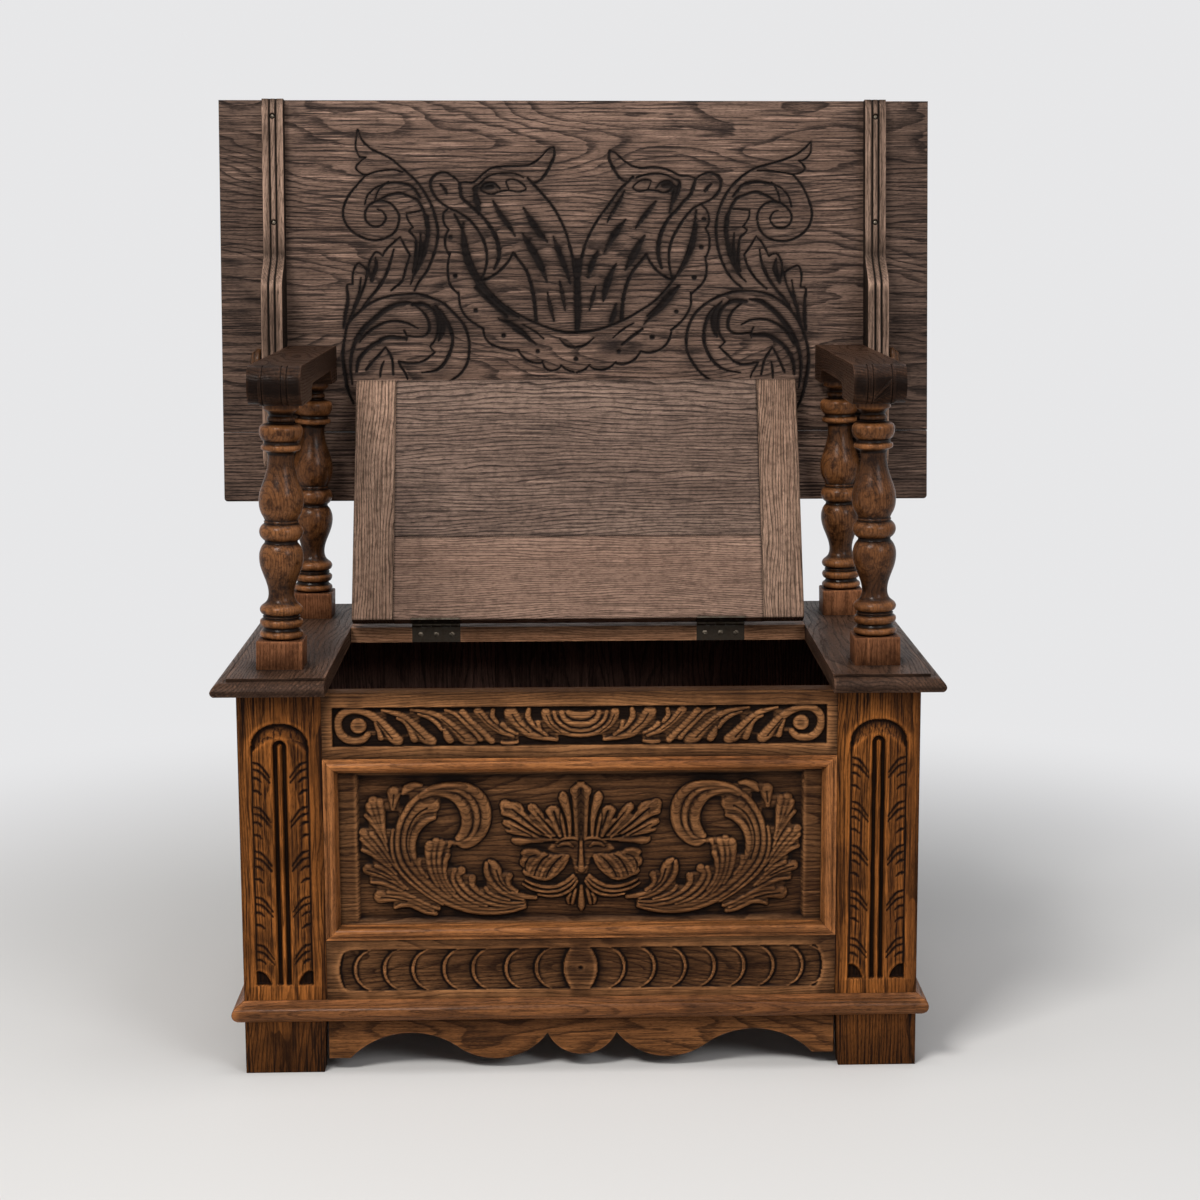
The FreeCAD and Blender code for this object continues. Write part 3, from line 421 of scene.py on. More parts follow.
# Each finish in oak: its grain, its tones and what sets it apart
oaks = {
    "chest_x": (grain_x, "chest", {}),
    "chest_y": (grain_y, "chest", {}),
    "chest_z": (grain_z, "chest", dict(streaks=0.8, shade=foot_shade)),
    "back_x": (grain_x, "back", {}),
    "moulding_x": (grain_x, "moulding", plain_moulding),
    "plinth_x": (grain_x, "plinth", plain_moulding),
    "plinth_y": (grain_y, "plinth", plain_moulding),
    "moulding_z": (grain_z, "moulding", plain_moulding),
    "carved_x": (grain_x, "carved", dict(carved=True, wear_and_highlight=0.9, dirt_and_shade=0.97, ring_strength=0.7)),
    "carved_z": (grain_z, "stile", dict(
        carved=True, wear_and_highlight=0.8, dirt_and_shade=0.95, ring_strength=0.75, streaks=1.0, blotches=0.65, shade=foot_shade)),
    "posts": (grain_z, "post", plain_turning),
    "blocks": (grain_z, "block", dict(wear_and_highlight=0.7, ring_strength=0.15, streaks=0.3, mottle=0.45)),
    "arms": (grain_y, "arm", dict(wear_and_highlight=1.0, dirt_and_shade=0.9, gloss=0.34, end_grain=0.9, shine=0.06)),
    "seat_y": (grain_y, "seat", dict(wear_and_highlight=1.0, dirt_and_shade=0.8)),
    "lid_upper": (grain_lid, "upper", dict(
        lid_figure, ring_width=4.0, ring_depth=60.0, pale=0.4, mottle=0.35, waver=2.4)),
    "lid_lower": (grain_lid, "lower", dict(lid_figure, pale=0.3, streaks=0.4, mottle=0.3, waver=1.6)),
    "lid_cleats": (grain_cleat, "cleat", dict(lid_figure, streaks=0.5, mottle=0.4, waver=1.6)),
    "table": (grain_table, "table", dict(
        ring_strength=0.85, carved=True, wear_and_highlight=0.3, dirt_and_shade=0.97, streaks=0.85, pale=0.8, shade=table_shade)),
    "battens": (grain_batten, "batten", dict(
        wear_and_highlight=1.0, dirt_and_shade=1.0, ring_strength=0.2, streaks=0.4, carved=True)),
    "knobs": (grain_y, "knob", plain_turning),
    "inside": (grain_x, "inside", dict(wear_and_highlight=0.1, gloss=0.55)),
    "inside_z": (grain_z, "inside", dict(wear_and_highlight=0.1, gloss=0.55)),
}
materials = {
    name: oak("oak_" + name, grain, tones[tone], **look) for name, (grain, tone, look) in oaks.items()}
materials["hinges"] = metal("hinge_metal", (0.060, 0.048, 0.036), 0.45)
materials["screws"] = metal("screw_metal", (0.20, 0.165, 0.125), 0.34)


# Meshes

def mesh_object(name, points, quads, caps, material, shades=None):
    """An object from arrays: smooth quads, flat caps, and a value at each point for each of the shades."""
    mesh = bpy.data.meshes.new(name)
    loops = np.concatenate([np.asarray(quads).ravel()] + [np.asarray(cap) for cap in caps])
    cap_starts = np.cumsum([4 * len(quads)] + [len(cap) for cap in caps])[:-1]
    starts = np.concatenate([np.arange(len(quads)) * 4, cap_starts])
    mesh.vertices.add(len(points))
    mesh.vertices.foreach_set("co", np.asarray(points, dtype=np.float32).ravel())
    mesh.loops.add(len(loops))
    mesh.loops.foreach_set("vertex_index", loops.astype(np.int32))
    mesh.polygons.add(len(starts))
    mesh.polygons.foreach_set("loop_start", starts.astype(np.int32))
    mesh.update(calc_edges=True)
    mesh.polygons.foreach_set("use_smooth", np.arange(len(starts)) < len(quads))
    for key, values in (shades or {}).items():
        layer = mesh.attributes.new(key, "FLOAT", "POINT")
        layer.data.foreach_set("value", np.asarray(values, dtype=np.float32).ravel())
    mesh.materials.append(material)
    return add_object(name, mesh)


def seat_piece(piece, body, node_name):
    """Sets what a finished piece rides on, and hides the node that it stands for."""
    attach(piece, body)
    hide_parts(node_name)


def smooth_path(points, spacing=0.4):
    """A smooth curve through given points, each a place and any widths, at even spacing."""
    points = np.array(points, dtype=float)
    ends = np.vstack([2 * points[0] - points[1], points, 2 * points[-1] - points[-2]])
    pieces = []
    for before, start, end, after in zip(ends, ends[1:], ends[2:], ends[3:]):
        count = max(2, int(math.hypot(*(end - start)[:2]) / spacing))
        t = np.linspace(0, 1, count, endpoint=False)[:, None]
        square = 2 * before - 5 * start + 4 * end - after
        cube = 3 * start - before - 3 * end + after
        pieces.append(0.5 * (2 * start + (end - before) * t + square * t ** 2 + cube * t ** 3))
    return np.vstack(pieces + [points[-1:]])


def blurred(values, reach, runs=2):
    """A box blur along each axis."""
    window = 2 * reach + 1
    for axis in range(values.ndim):
        for _ in range(runs):
            pads = [(0, 0)] * values.ndim
            pads[axis] = (reach + 1, reach)
            total = np.moveaxis(np.cumsum(np.pad(values, pads, mode="edge"), axis=axis), axis, 0)
            values = np.moveaxis((total[window:] - total[:-window]) / window, 0, axis)
    return values


# Carving

# Hollows are darkened, as dirt and painted shade, by how deep they lie below their surroundings at three
# widths, in mm
sharp_reach = 1.3
sharp_depth = 0.5
fine_reach = 2.1
fine_depth = 0.55
broad_reach = 7.0
broad_depth = 1.5
# Ridges are lightened, as wear and painted highlight, by how high they stand above theirs
ridge_height = 0.45
# Painted shade spread round the cuts: its reach in mm and its strength
halo_reach = 2.0
halo_shade = 0.7
thinnest_stroke = 0.3
outline_spacing = 0.6


def rounded(near):
    """A round section over its half width."""
    return np.sqrt(np.clip(1 - near * near, 0, 1))


def flat_topped(near):
    """A flat section with steep sides."""
    return np.clip(6 * (1 - near), 0, 1)


class Relief:
    """Carving on a grid, in millimetres: forms that stand on a sunk ground, and cuts."""

    def __init__(self, left, right, low, high, step):
        self.x = np.linspace(left, right, int(round((right - left) / step)) + 1)
        self.z = np.linspace(low, high, int(round((high - low) / step)) + 1)
        self.step = step
        self.raised = np.zeros((len(self.z), len(self.x)))
        self.cuts = np.zeros_like(self.raised)
        self.stain_and_shade = np.zeros_like(self.raised)
        # Painted shade on the board's sides
        self.side = 0.0

    def window(self, points, reach):
        """The rows and columns that hold the points and what lies within reach of them."""
        low = points.min(axis=0) - reach
        high = points.max(axis=0) + reach
        rows = slice(*np.searchsorted(self.z, (low[1], high[1])))
        return rows, slice(*np.searchsorted(self.x, (low[0], high[0])))

    def near(self, points, gain):
        """The window round a path, and each point's distance from it over its half width there."""
        path = smooth_path([(x, z, half * gain) for x, z, half in points])
        path[:, 2] = np.maximum(path[:, 2], thinnest_stroke)
        window = self.window(path, path[:, 2].max() + self.step)
        z = self.z[window[0]]
        x = self.x[window[1]]
        near = np.full((len(z), len(x)), np.inf)
        for at_x, at_z, half in path:
            rows = slice(*np.searchsorted(z, (at_z - half, at_z + half)))
            columns = slice(*np.searchsorted(x, (at_x - half, at_x + half)))
            distance = np.hypot(z[rows, None] - at_z, x[None, columns] - at_x) / half
            near[rows, columns] = np.minimum(near[rows, columns], distance)
        return window, near

    def add(self, points, top, gain=1.0, section=rounded):
        """A raised form along a path."""
        window, near = self.near(points, gain)
        self.raised[window] = np.maximum(self.raised[window], top * section(near))

    def cut(self, points, depth, stain_and_shade, gain=1.0):
        """A groove along a path, darkened by stain and painted shade."""
        window, near = self.near(points, gain)
        inwards = np.clip(1 - near, 0, 1)
        self.cuts[window] = np.maximum(self.cuts[window], depth * inwards)
        self.stain_and_shade[window] = np.maximum(self.stain_and_shade[window], stain_and_shade * np.clip(2.2 * inwards, 0, 1))

    def fill(self, outline, top, rounding):
        """A raised form inside an outline, with a rounded edge."""
        corners = np.array(outline, dtype=float)
        edges = list(zip(corners, np.roll(corners, -1, axis=0)))
        window = self.window(corners, 1.0)
        x, z = np.meshgrid(self.x[window[1]], self.z[window[0]])
        inside = np.zeros(x.shape, dtype=bool)
        near = np.full(x.shape, rounding)
        for start, end in edges:
            crosses = (start[1] > z) != (end[1] > z)
            slope = (end[0] - start[0]) / ((end[1] - start[1]) or 1e-9)
            inside ^= crosses & (x < start[0] + slope * (z - start[1]))
            count = max(2, int(math.hypot(*(end - start)) / outline_spacing))
            for share in np.linspace(0, 1, count, endpoint=False):
                at_x, at_z = start + share * (end - start)
                np.minimum(near, np.hypot(x - at_x, z - at_z), out=near)
        height = np.where(inside, top * rounded(1 - near / rounding), 0)
        self.raised[window] = np.maximum(self.raised[window], height)

    def bridge(self, reach, share):
        """Fills the gaps between neighbouring forms to a share of their height."""
        filled = self.raised
        for choose in (np.maximum, np.minimum):
            for axis in (0, 1):
                result = filled.copy()
                for move in range(1, int(round(reach / self.step)) + 1):
                    for way in (move, -move):
                        result = choose(result, np.roll(filled, way, axis))
                filled = result
        self.raised = np.maximum(self.raised, share * blurred(filled, 1, 1))

    def mirror(self):
        """Copies the right half to the left."""
        for name in ("raised", "cuts", "stain_and_shade"):
            values = getattr(self, name)
            setattr(self, name, np.maximum(values, values[:, ::-1]))

    def blur(self, values, reach):
        return blurred(values, max(1, int(round(reach / self.step))))

    def finish(self, ground, field=1.0, smooth=True, stain_and_shade=0.4, strength=1.0, haze=0.75):
        """Works out the depth behind the board's face, the darkening of its hollows by dirt and painted
        shade, and the lightening of its ridges by wear and painted highlight.
        """
        depth = (np.maximum(ground - self.raised, 0) + self.cuts) * field
        sharp = depth - self.blur(depth, sharp_reach)
        if smooth:
            depth = blurred(depth, 1, 1)
        fine = depth - self.blur(depth, fine_reach)
        broad = depth - self.blur(depth, broad_reach)
        below = np.maximum(np.maximum(fine / fine_depth, sharp / sharp_depth), broad / broad_depth)
        # Painted shade spread near and wide round the cuts and their stain
        spread = halo_shade * self.blur(self.stain_and_shade, halo_reach) + haze * self.blur(self.stain_and_shade, broad_reach)
        hollow = np.maximum(strength * below, np.maximum(self.stain_and_shade, spread))
        # The deep sunk ground darkened by stain and painted shade
        if ground > 0:
            hollow = np.maximum(hollow, stain_and_shade * np.clip((depth / ground - 0.45) / 0.4, 0, 1))
        self.depth = depth
        self.hollow = np.clip(hollow, 0, 1)
        self.ridge = np.clip(-fine / ridge_height, 0, 1)
        return self

    def at(self, values, x, z):
        """Values of this grid at other grid lines, and 0 outside it."""
        rows = np.array([np.interp(x, self.x, row, left=0, right=0) for row in values])
        return np.array([np.interp(z, self.z, column, left=0, right=0) for column in rows.T]).T


def grid_lines(low, high, inner, edge):
    """Grid lines from low to high: close together at the rounded edges and over the carving."""
    rounding = edge * (1 - np.cos(np.linspace(0, math.pi / 2, 5)))
    inner = inner[(inner > low + edge * 1.01) & (inner < high - edge * 1.01)]
    return np.concatenate([low + rounding, inner, high - rounding[::-1]])


def edge_fall(inset, edge):
    """How far a rounded edge falls back at each distance in from it."""
    short = np.clip(edge - inset, 0, edge)
    return edge - np.sqrt(edge * edge - short * short)


def grid_faces(rows, columns):
    """Faces of a grid of points with a skirt round it: quads, the grid's outer ring and the cap behind."""
    index = np.arange(rows * columns).reshape(rows, columns)
    quads = np.stack([index[:-1, :-1], index[:-1, 1:], index[1:, 1:], index[1:, :-1]], axis=-1).reshape(-1, 4)
    ring = np.concatenate([index[0, :-1], index[:-1, -1], index[-1, :0:-1], index[:0:-1, 0]])
    behind = rows * columns + np.arange(len(ring))
    skirt = np.stack([np.roll(ring, -1), ring, behind, np.roll(behind, -1)], axis=-1)
    return np.vstack([quads, skirt]), ring, behind[::-1]


# Dark joints and painted shade along a board's edges, and painted shade over the moulding that stands on it
joint_shade_reach = 1.8
ledge_reach = 5.0
ledge_shade = 0.85


def carved_board(name, node_name, body, finish, relief, across=None, along=None, up=upwards, level=0.0,
                 edge=0.8, foot=None, rim_joint_and_shade=0.55, ledge=None):
    """A board with a carved face, closed all round. across and along are its spans in metres."""
    out = sideways.cross(up)
    corners = node_corners(node_name)
    outwards = corners @ np.array(out)
    upwards_reach = corners @ np.array(up)
    front = float(outwards.max())
    thick = METRE * (front - float(outwards.min()))
    left, right = (METRE * value for value in across or (corners[:, 0].min(), corners[:, 0].max()))
    low, high = (METRE * value - level for value in along or (upwards_reach.min(), upwards_reach.max()))
    x = grid_lines(left, right, relief.x, edge)
    z = grid_lines(low, high, relief.z, edge)
    inset_x = np.minimum(x - x[0], x[-1] - x)[None, :]
    inset_z = np.minimum(z - z[0], z[-1] - z)[:, None]
    depth = relief.at(relief.depth, x, z) + np.maximum(edge_fall(inset_x, edge), edge_fall(inset_z, edge))
    wide, tall = np.meshgrid(x, z)
    if foot is not None:
        wide = wide + foot(wide, tall)
    quads, ring, cap = grid_faces(len(z), len(x))
    wide = np.concatenate([wide.ravel(), wide.ravel()[ring]]) * MM
    tall = (np.concatenate([tall.ravel(), tall.ravel()[ring]]) + level) * MM
    deep = front - np.concatenate([depth.ravel(), np.full(len(ring), thick)]) * MM
    points = wide[:, None] * np.array(sideways) + tall[:, None] * np.array(up) + deep[:, None] * np.array(out)

    # Dark joints and painted shade along the edges, and painted shade by the moulding's top
    rim = rim_joint_and_shade * np.clip(1 - np.minimum(inset_x, inset_z) / joint_shade_reach, 0, 1)
    hollow = np.maximum(relief.at(relief.hollow, x, z), rim)
    if ledge is not None:
        near = np.abs(z - METRE * ledge + level) / ledge_reach
        hollow = np.maximum(hollow, ledge_shade * np.clip(1 - near, 0, 1)[:, None])
    ridge = relief.at(relief.ridge, x, z)
    shades = {
        "hollow": np.concatenate([hollow.ravel(), np.full(len(ring), relief.side)]),
        "ridge": np.concatenate([ridge.ravel(), np.zeros(len(ring))])}
    piece = mesh_object(name, points, quads, [cap], materials[finish], shades)
    seat_piece(piece, body, node_name)
    return piece


# Panel carving: the right half, as (across, up, half width) from the panel's middle

panel_grid = (-262, 262, -82, 82, 0.65)
panel_ground = 4.5
panel_ramp = 6.0
panel_rim = 0.4
panel_field = (231.0, 80.0)
panel_bridge = (3.2, 0.62)
panel_scroll_ribs = (
    ((126, 4, 2), (118, 3, 4.6), (108, 8, 4.8), (100, 18, 4.8), (97, 31, 5), (98.5, 43, 5), (104, 53, 4.8),
     (113, 60, 4.4), (123, 62.8, 3.8), (135, 63.6, 3.2), (148, 61.5, 3), (158, 57.5, 3), (168, 49.8, 3),
     (176.5, 39, 3), (183.2, 26, 3), (186.6, 12, 3), (186.8, -2, 3), (183.5, -15, 3), (176.5, -26, 3),
     (167, -36.5, 3), (156.5, -46, 3), (144, -55, 3), (131, -61.5, 3), (118, -66, 3), (104, -69, 2.8),
     (88, -69.8, 2.6), (72, -68, 2.2), (58, -64.5, 1.6)),
    ((124, 4.5, 2.4), (114.5, 8, 3.2), (108, 17, 3.4), (105.6, 29, 3.5), (107.6, 41, 3.5),
     (113.5, 51.5, 3.4), (122.5, 57.8, 3), (134, 59.6, 2.6), (147, 58.6, 2.4)),
    ((124.5, 8.5, 3.4), (119.5, 13, 5), (115.8, 23, 5.2), (116.4, 34, 5.2), (120.6, 44, 5),
     (128, 51.6, 4.4), (138.5, 56, 3.8), (150.5, 57, 3.4), (161.5, 53.2, 3.2)),
    ((191, 18, 1.4), (192.6, 6, 2), (191.6, -8, 2.2), (186.5, -22, 2.2), (178, -33, 2.2), (167.5, -42.5, 2),
     (155, -52, 1.8), (142, -60, 1.5)),
)
panel_scroll_leaves = (
    ((152, 43.5, 6.8), (160, 41.2, 6.2), (168, 34.5, 5.4), (174.4, 25, 4.8), (178, 13, 4.4),
     (178.6, 0, 4.2), (175.6, -13, 4), (169.3, -24, 3.8), (161, -33.5, 3.6), (150.5, -43, 3.4),
     (138.8, -51.6, 3.2), (126, -58.6, 3), (113, -63.2, 2.8), (99, -65.6, 2.6), (84, -66, 2.2),
     (70, -64, 1.6)),
    ((149, 30.5, 1.6), (157, 28, 2.8), (165, 21.4, 3.2), (170.4, 11.5, 3.2), (172.2, 0, 3),
     (170, -11.5, 2.6), (164.5, -22, 2.2), (157, -31.5, 1.8)),
    ((142.6, 2.6, 4.2), (144.2, -6, 3), (145, -17, 3), (143, -29, 3), (138, -40.5, 2.8), (130, -50.5, 2.6),
     (119, -58.6, 2.4), (106, -63, 2)),
    ((147.5, 4.2, 4), (149.6, -4, 3), (149.9, -16, 2.8), (147.6, -29, 2.8), (142.4, -41, 2.6),
     (134, -51.5, 2.4)),
    ((153, 0.5, 4.8), (155.2, -7, 3.4), (154.8, -18, 3), (151.6, -30, 2.8), (146, -41, 2.4)),
    ((165.8, -14, 2.8), (164.6, -22, 2.4), (161, -31, 2)),
    ((136.6, -9, 2.6), (139.2, -17, 2.4), (139.5, -28, 2.4), (136.2, -38, 2.2), (129.5, -47, 2)),
    ((122.5, -25.5, 3.6), (126, -30, 3), (123.2, -38, 2.8), (116.8, -46, 2.8), (108, -53, 2.6),
     (97, -58.6, 2.4), (84.6, -62, 2.2), (71, -63.6, 1.8), (58, -62.4, 1.2)),
    ((129, -25.5, 2.6), (131, -33, 2.6), (127.6, -42.5, 2.6), (120, -51.5, 2.4), (109, -58.4, 2.2),
     (97, -62.4, 1.8)),
    ((111.5, -33.5, 3.2), (111.6, -40, 2.6), (106.5, -46.6, 2.4), (97.5, -52.6, 2.2), (86, -57, 2),
     (72, -59.6, 1.6), (59, -59.2, 1)),
    ((93.6, -15.5, 1.4), (89.5, -19.8, 3.4), (86.8, -26.4, 4.4), (84.4, -34, 3.4), (79, -42, 3),
     (70.4, -49, 2.6), (59, -53, 2.2), (47, -54.6, 1.6)),
    ((96.6, -18, 1.8), (96.4, -27, 2.6), (92, -37, 2.6), (83.6, -46, 2.4), (72, -52.6, 2.2),
     (59.5, -56.2, 1.6)),
    ((97.5, -44, 1.8), (93.5, -49, 2), (84.5, -53.6, 1.8), (73.5, -56.6, 1.4)),
    ((73.6, -31.5, 2.8), (75.4, -37.2, 2.2), (72.6, -43, 1.8), (66, -47.6, 1.4)),
    ((133.2, 4.2, 2.2), (134.6, 0.4, 1.4)),
)
panel_outer_leaves = (
    ((162.5, 64.2, 1.6), (169, 64, 2.8), (176.5, 60.6, 3.4), (180.6, 56.4, 1.6)),
    ((189.4, 56.6, 5.2), (190.4, 48.5, 3.6), (191, 40, 1.6)),
    ((204.6, 46.4, 4), (202.8, 38, 3), (202, 28, 2.4), (200.8, 17, 2), (198, 6, 1.6)),
    ((210.4, 47.4, 4.4), (208.4, 38.5, 3.2), (205.4, 28, 2.6), (201.6, 16, 2)),
    ((214.2, 43.6, 3.4), (212, 35, 2.8), (207.8, 25.4, 2.4), (202.6, 14.5, 1.8)),
    ((218, 33.4, 1.8), (212.6, 28.4, 2.6), (207, 19.4, 2.4), (201.4, 8.5, 2), (196.8, -3, 1.6)),
    ((212.8, 13.6, 3.2), (207.2, 7, 2.8), (200.8, -2, 2.4), (194.4, -12.4, 2), (188, -22, 1.6)),
    ((221.4, 15.6, 3.4), (216.6, 9.4, 3.2), (209.2, 1, 2.6), (201.6, -8.8, 2.2), (194, -19, 1.8)),
    ((222.6, 9.4, 2.4), (216.8, 3.4, 2.8), (209, -5.4, 2.4), (200.2, -15.2, 2), (191.5, -25, 1.6)),
    ((222, -2.6, 1.8), (213.4, -5.6, 2.6), (205.4, -12.2, 2.4), (197, -19.6, 2), (188.6, -28, 1.6)),
    ((208.6, -19.6, 2.4), (200.6, -22.6, 2.6), (192.4, -28.8, 2.4), (184.8, -36.6, 2), (177.6, -43.6, 1.6)),
    ((217, -23, 4.2), (209, -26.6, 3.4), (199, -30.6, 2.8), (190, -36.6, 2.4), (181, -43, 1.8)),
    ((214, -36.4, 1.4), (204, -37, 2.2), (194.4, -40.4, 2.4), (184, -45.6, 2), (175, -50.5, 1.6)),
    ((197, -47, 2.4), (187.4, -47.8, 2.6), (177.2, -50.4, 2.4), (167, -55.4, 2.2), (157, -60.6, 2),
     (146, -65, 1.6)),
    ((204.6, -51.6, 5.4), (196.2, -52.6, 3.8), (185.4, -53.6, 3.2), (174, -56.4, 2.8), (162.4, -61.6, 2.4),
     (151.6, -67, 2)),
    ((190.4, -63.6, 1.2), (184, -60.8, 2.2), (174.8, -60.6, 2.4), (167, -64, 2.4), (158, -68.4, 2.2),
     (149, -70.6, 1.6)),
)
# The scrolls' strokes, the height that they stand to and what widens them
panel_scrolls = (
    (panel_scroll_ribs, 4.1, 1.2), (panel_scroll_leaves, 4.0, 1.35), (panel_outer_leaves, 3.8, 1.38))

# The leaf mask in the panel's middle, also its right half: outlines of its leaves, then ribs along them
mask_leaf_top = 3.1
mask_leaf_rounding = 3.4
mask_plate_top = 1.5
mask_plate_rounding = 3.0
mask_outlines = (
    ((-4, 67), (0, 67), (5, 64.5), (10.5, 59.5), (11, 55.5), (8.8, 51), (8.4, 42), (7.6, 30), (7.2, 18),
     (7, 5), (-4, 5)),
    ((10, 8), (9.2, 20), (9.8, 32), (11.2, 43), (13, 51), (15.6, 55.6), (18.4, 57), (21.4, 54.8), (23, 50),
     (21.4, 44.6), (17.8, 36), (15.2, 26), (14, 16), (14, 8)),
    ((14, 8), (15, 18), (17.6, 29), (21, 37.6), (25, 41.6), (30, 42.4), (34, 40.2), (35.8, 35.6),
     (33.6, 31), (31.4, 28.4), (36, 29), (38.4, 26), (34.6, 22.4), (29.6, 17), (25, 11), (22, 8)),
    ((24, 9), (29, 17), (35, 24.6), (38, 33), (42.4, 39), (46.4, 43.4), (51, 44.6), (54.4, 42.4),
     (54.2, 38), (51.4, 33.6), (54, 32.4), (56, 30.6), (50, 24), (40, 15), (30, 8)),
    ((26, 7), (36, 14), (46, 22.6), (53, 29.6), (57, 33.4), (57.6, 39), (61, 44), (66, 46), (71, 46.6),
     (76, 48.6), (80.4, 48), (83, 44), (82, 38), (79, 33.4), (73.6, 31), (68.6, 29.6), (62, 24), (52, 17),
     (42, 11.4), (30, 6)),
    ((38, 8), (50, 14.6), (60, 20.6), (67, 25.6), (73, 28), (79, 27.4), (80.6, 24), (77.4, 20.6), (73, 18),
     (77.4, 17.6), (76, 14.4), (69, 12), (60, 10), (50, 7.6), (40, 6)),
    ((16, 6), (28, 8.6), (40, 8.6), (52, 9), (62, 9.6), (70.6, 8.6), (71.4, 4.8), (68, 1.4), (62, 0.4),
     (52, 2.2), (40, 3.2), (28, 3.8), (16, 3.6)),
    ((11, -9), (18, -7.6), (26, -8.6), (34, -8), (41, -6), (45, -3.4), (52, -2), (59, -3.6), (62.4, -7.4),
     (60, -10.6), (63, -15.6), (62.4, -20), (58.6, -23.4), (60.4, -27.4), (58, -31), (52, -33), (45.6, -36),
     (37, -37.6), (31, -36), (24, -31), (17, -24), (12.6, -16)),
)
mask_plate = (
    (-4, 9), (10, 7), (20, 6), (30, 2), (35, -4), (28, -8.4), (14, -10), (9, -15), (8, -24), (6, -30),
    (-4, -30),
)
mask_leaves = (
    ((24.4, 37, 3), (21, 28.6, 2.6), (18, 18, 2.4), (16, 9, 2)),
    ((32.6, 36, 3.6), (29, 28, 3), (25.4, 18.6, 2.6), (21.6, 10, 2)),
    ((17.8, 51, 4.6), (14.8, 42, 3.8), (12.4, 30, 3), (11.6, 18, 2.4), (11.6, 9, 2)),
    ((50.6, 40, 3.4), (46, 32, 3.2), (38.6, 23.4, 2.8), (30, 13.6, 2.2)),
    ((76, 43, 4.6), (68.6, 40.4, 4), (61, 35, 3.4), (52, 26.4, 3), (42, 17.6, 2.6), (31, 9.4, 2)),
    ((77.6, 35.6, 4.2), (70.6, 32.4, 3.6), (62, 26.6, 3), (52, 19.4, 2.6), (42, 13, 2.2)),
    ((76.6, 24.6, 2.6), (69, 21.6, 2.6), (58.4, 16.6, 2.2), (47.4, 10.8, 1.8)),
    ((67.4, 5.6, 3.4), (56, 5.6, 3.2), (44, 6, 2.8), (30, 6.4, 2.2)),
)
mask_cheeks = (
    ((14.4, -11.4, 3), (20.4, -17.4, 3.6), (26.6, -25.4, 3.6), (31.6, -32.6, 2.2)),
    ((26, -11.4, 3), (33, -17, 3.6), (39, -26, 3.4), (41.6, -33.6, 2)),
    ((38, -9.4, 3), (45.4, -14.4, 3.6), (51.4, -22, 3.4), (54.4, -29.4, 2)),
    ((48, -5.6, 2.2), (54, -5.4, 2.4), (59.6, -7.6, 1.6)),
    ((53.4, -13, 1.8), (58.6, -15.6, 2.4), (60.4, -19.4, 1.4)),
)
mask_whiskers = (
    ((8.4, -32.6, 2.4), (16, -38.6, 2.4), (26, -43, 2.2), (38, -43.4, 2), (49, -40.4, 1.6), (57, -36.4, 1)),
    ((6, -34.6, 2), (12.4, -41.4, 2.2), (23, -47, 2.2), (37, -48.2, 2), (50, -45.4, 1.6), (60, -40, 1)),
    ((4.4, -37.6, 1.6), (9.6, -45, 2), (18.6, -50.8, 2), (31, -53, 1.8), (44, -51.4, 1.2)),
    ((0, -43, 1.8), (0, -52, 3), (0, -62, 3.8), (0, -67.6, 1.8)),
    ((5.6, -46, 1.4), (7.6, -53, 2.4), (9.4, -61, 1.8)),
    ((11, -50.6, 1.6), (13.6, -56, 2.2), (13, -61.4, 1)),
)
mask_nose = ((0, 9, 1.9), (0, -2, 2.2), (0, -14, 2.8), (0, -21, 3.8), (0, -24.6, 4.4))
mask_nostril = ((4, -23.4, 2.4), (5.6, -22.6, 1.6))
mask_brow = ((3.4, 6.4, 1.6), (9, 8.2, 2), (17, 7.4, 2), (25, 3.8, 1.2))
mask_eyelid = ((8.6, -1.4, 1.4), (13, 1.6, 2.6), (18, 1.8, 2.8), (23.4, -0.6, 1.6))
mask_eye_line = ((8, -3, 0.9), (13, -1.9, 1), (18, -1.9, 1), (24.6, -2.6, 0.8))
mask_socket = ((6.4, -1.4, 3.4), (15, -1.4, 5.2), (25, -1.6, 3.6))
mask_channel = ((0, 58, 4), (0, 50, 5.4), (0, 36, 5.4), (0, 22, 5.4), (0, 8, 4))
mask_ribs = ((mask_leaves, 4.0), (mask_cheeks, 4.0), (mask_whiskers, 3.7))
# The channel and the eye sockets: depth, and darkening by stain and painted shade
mask_hollows = ((mask_channel, 2.4, 0.75), (mask_socket, 1.2, 0.5))
mask_features = ((mask_brow, 4.0), (mask_eyelid, 3.4), (mask_nose, 4.4), (mask_nostril, 3.4))
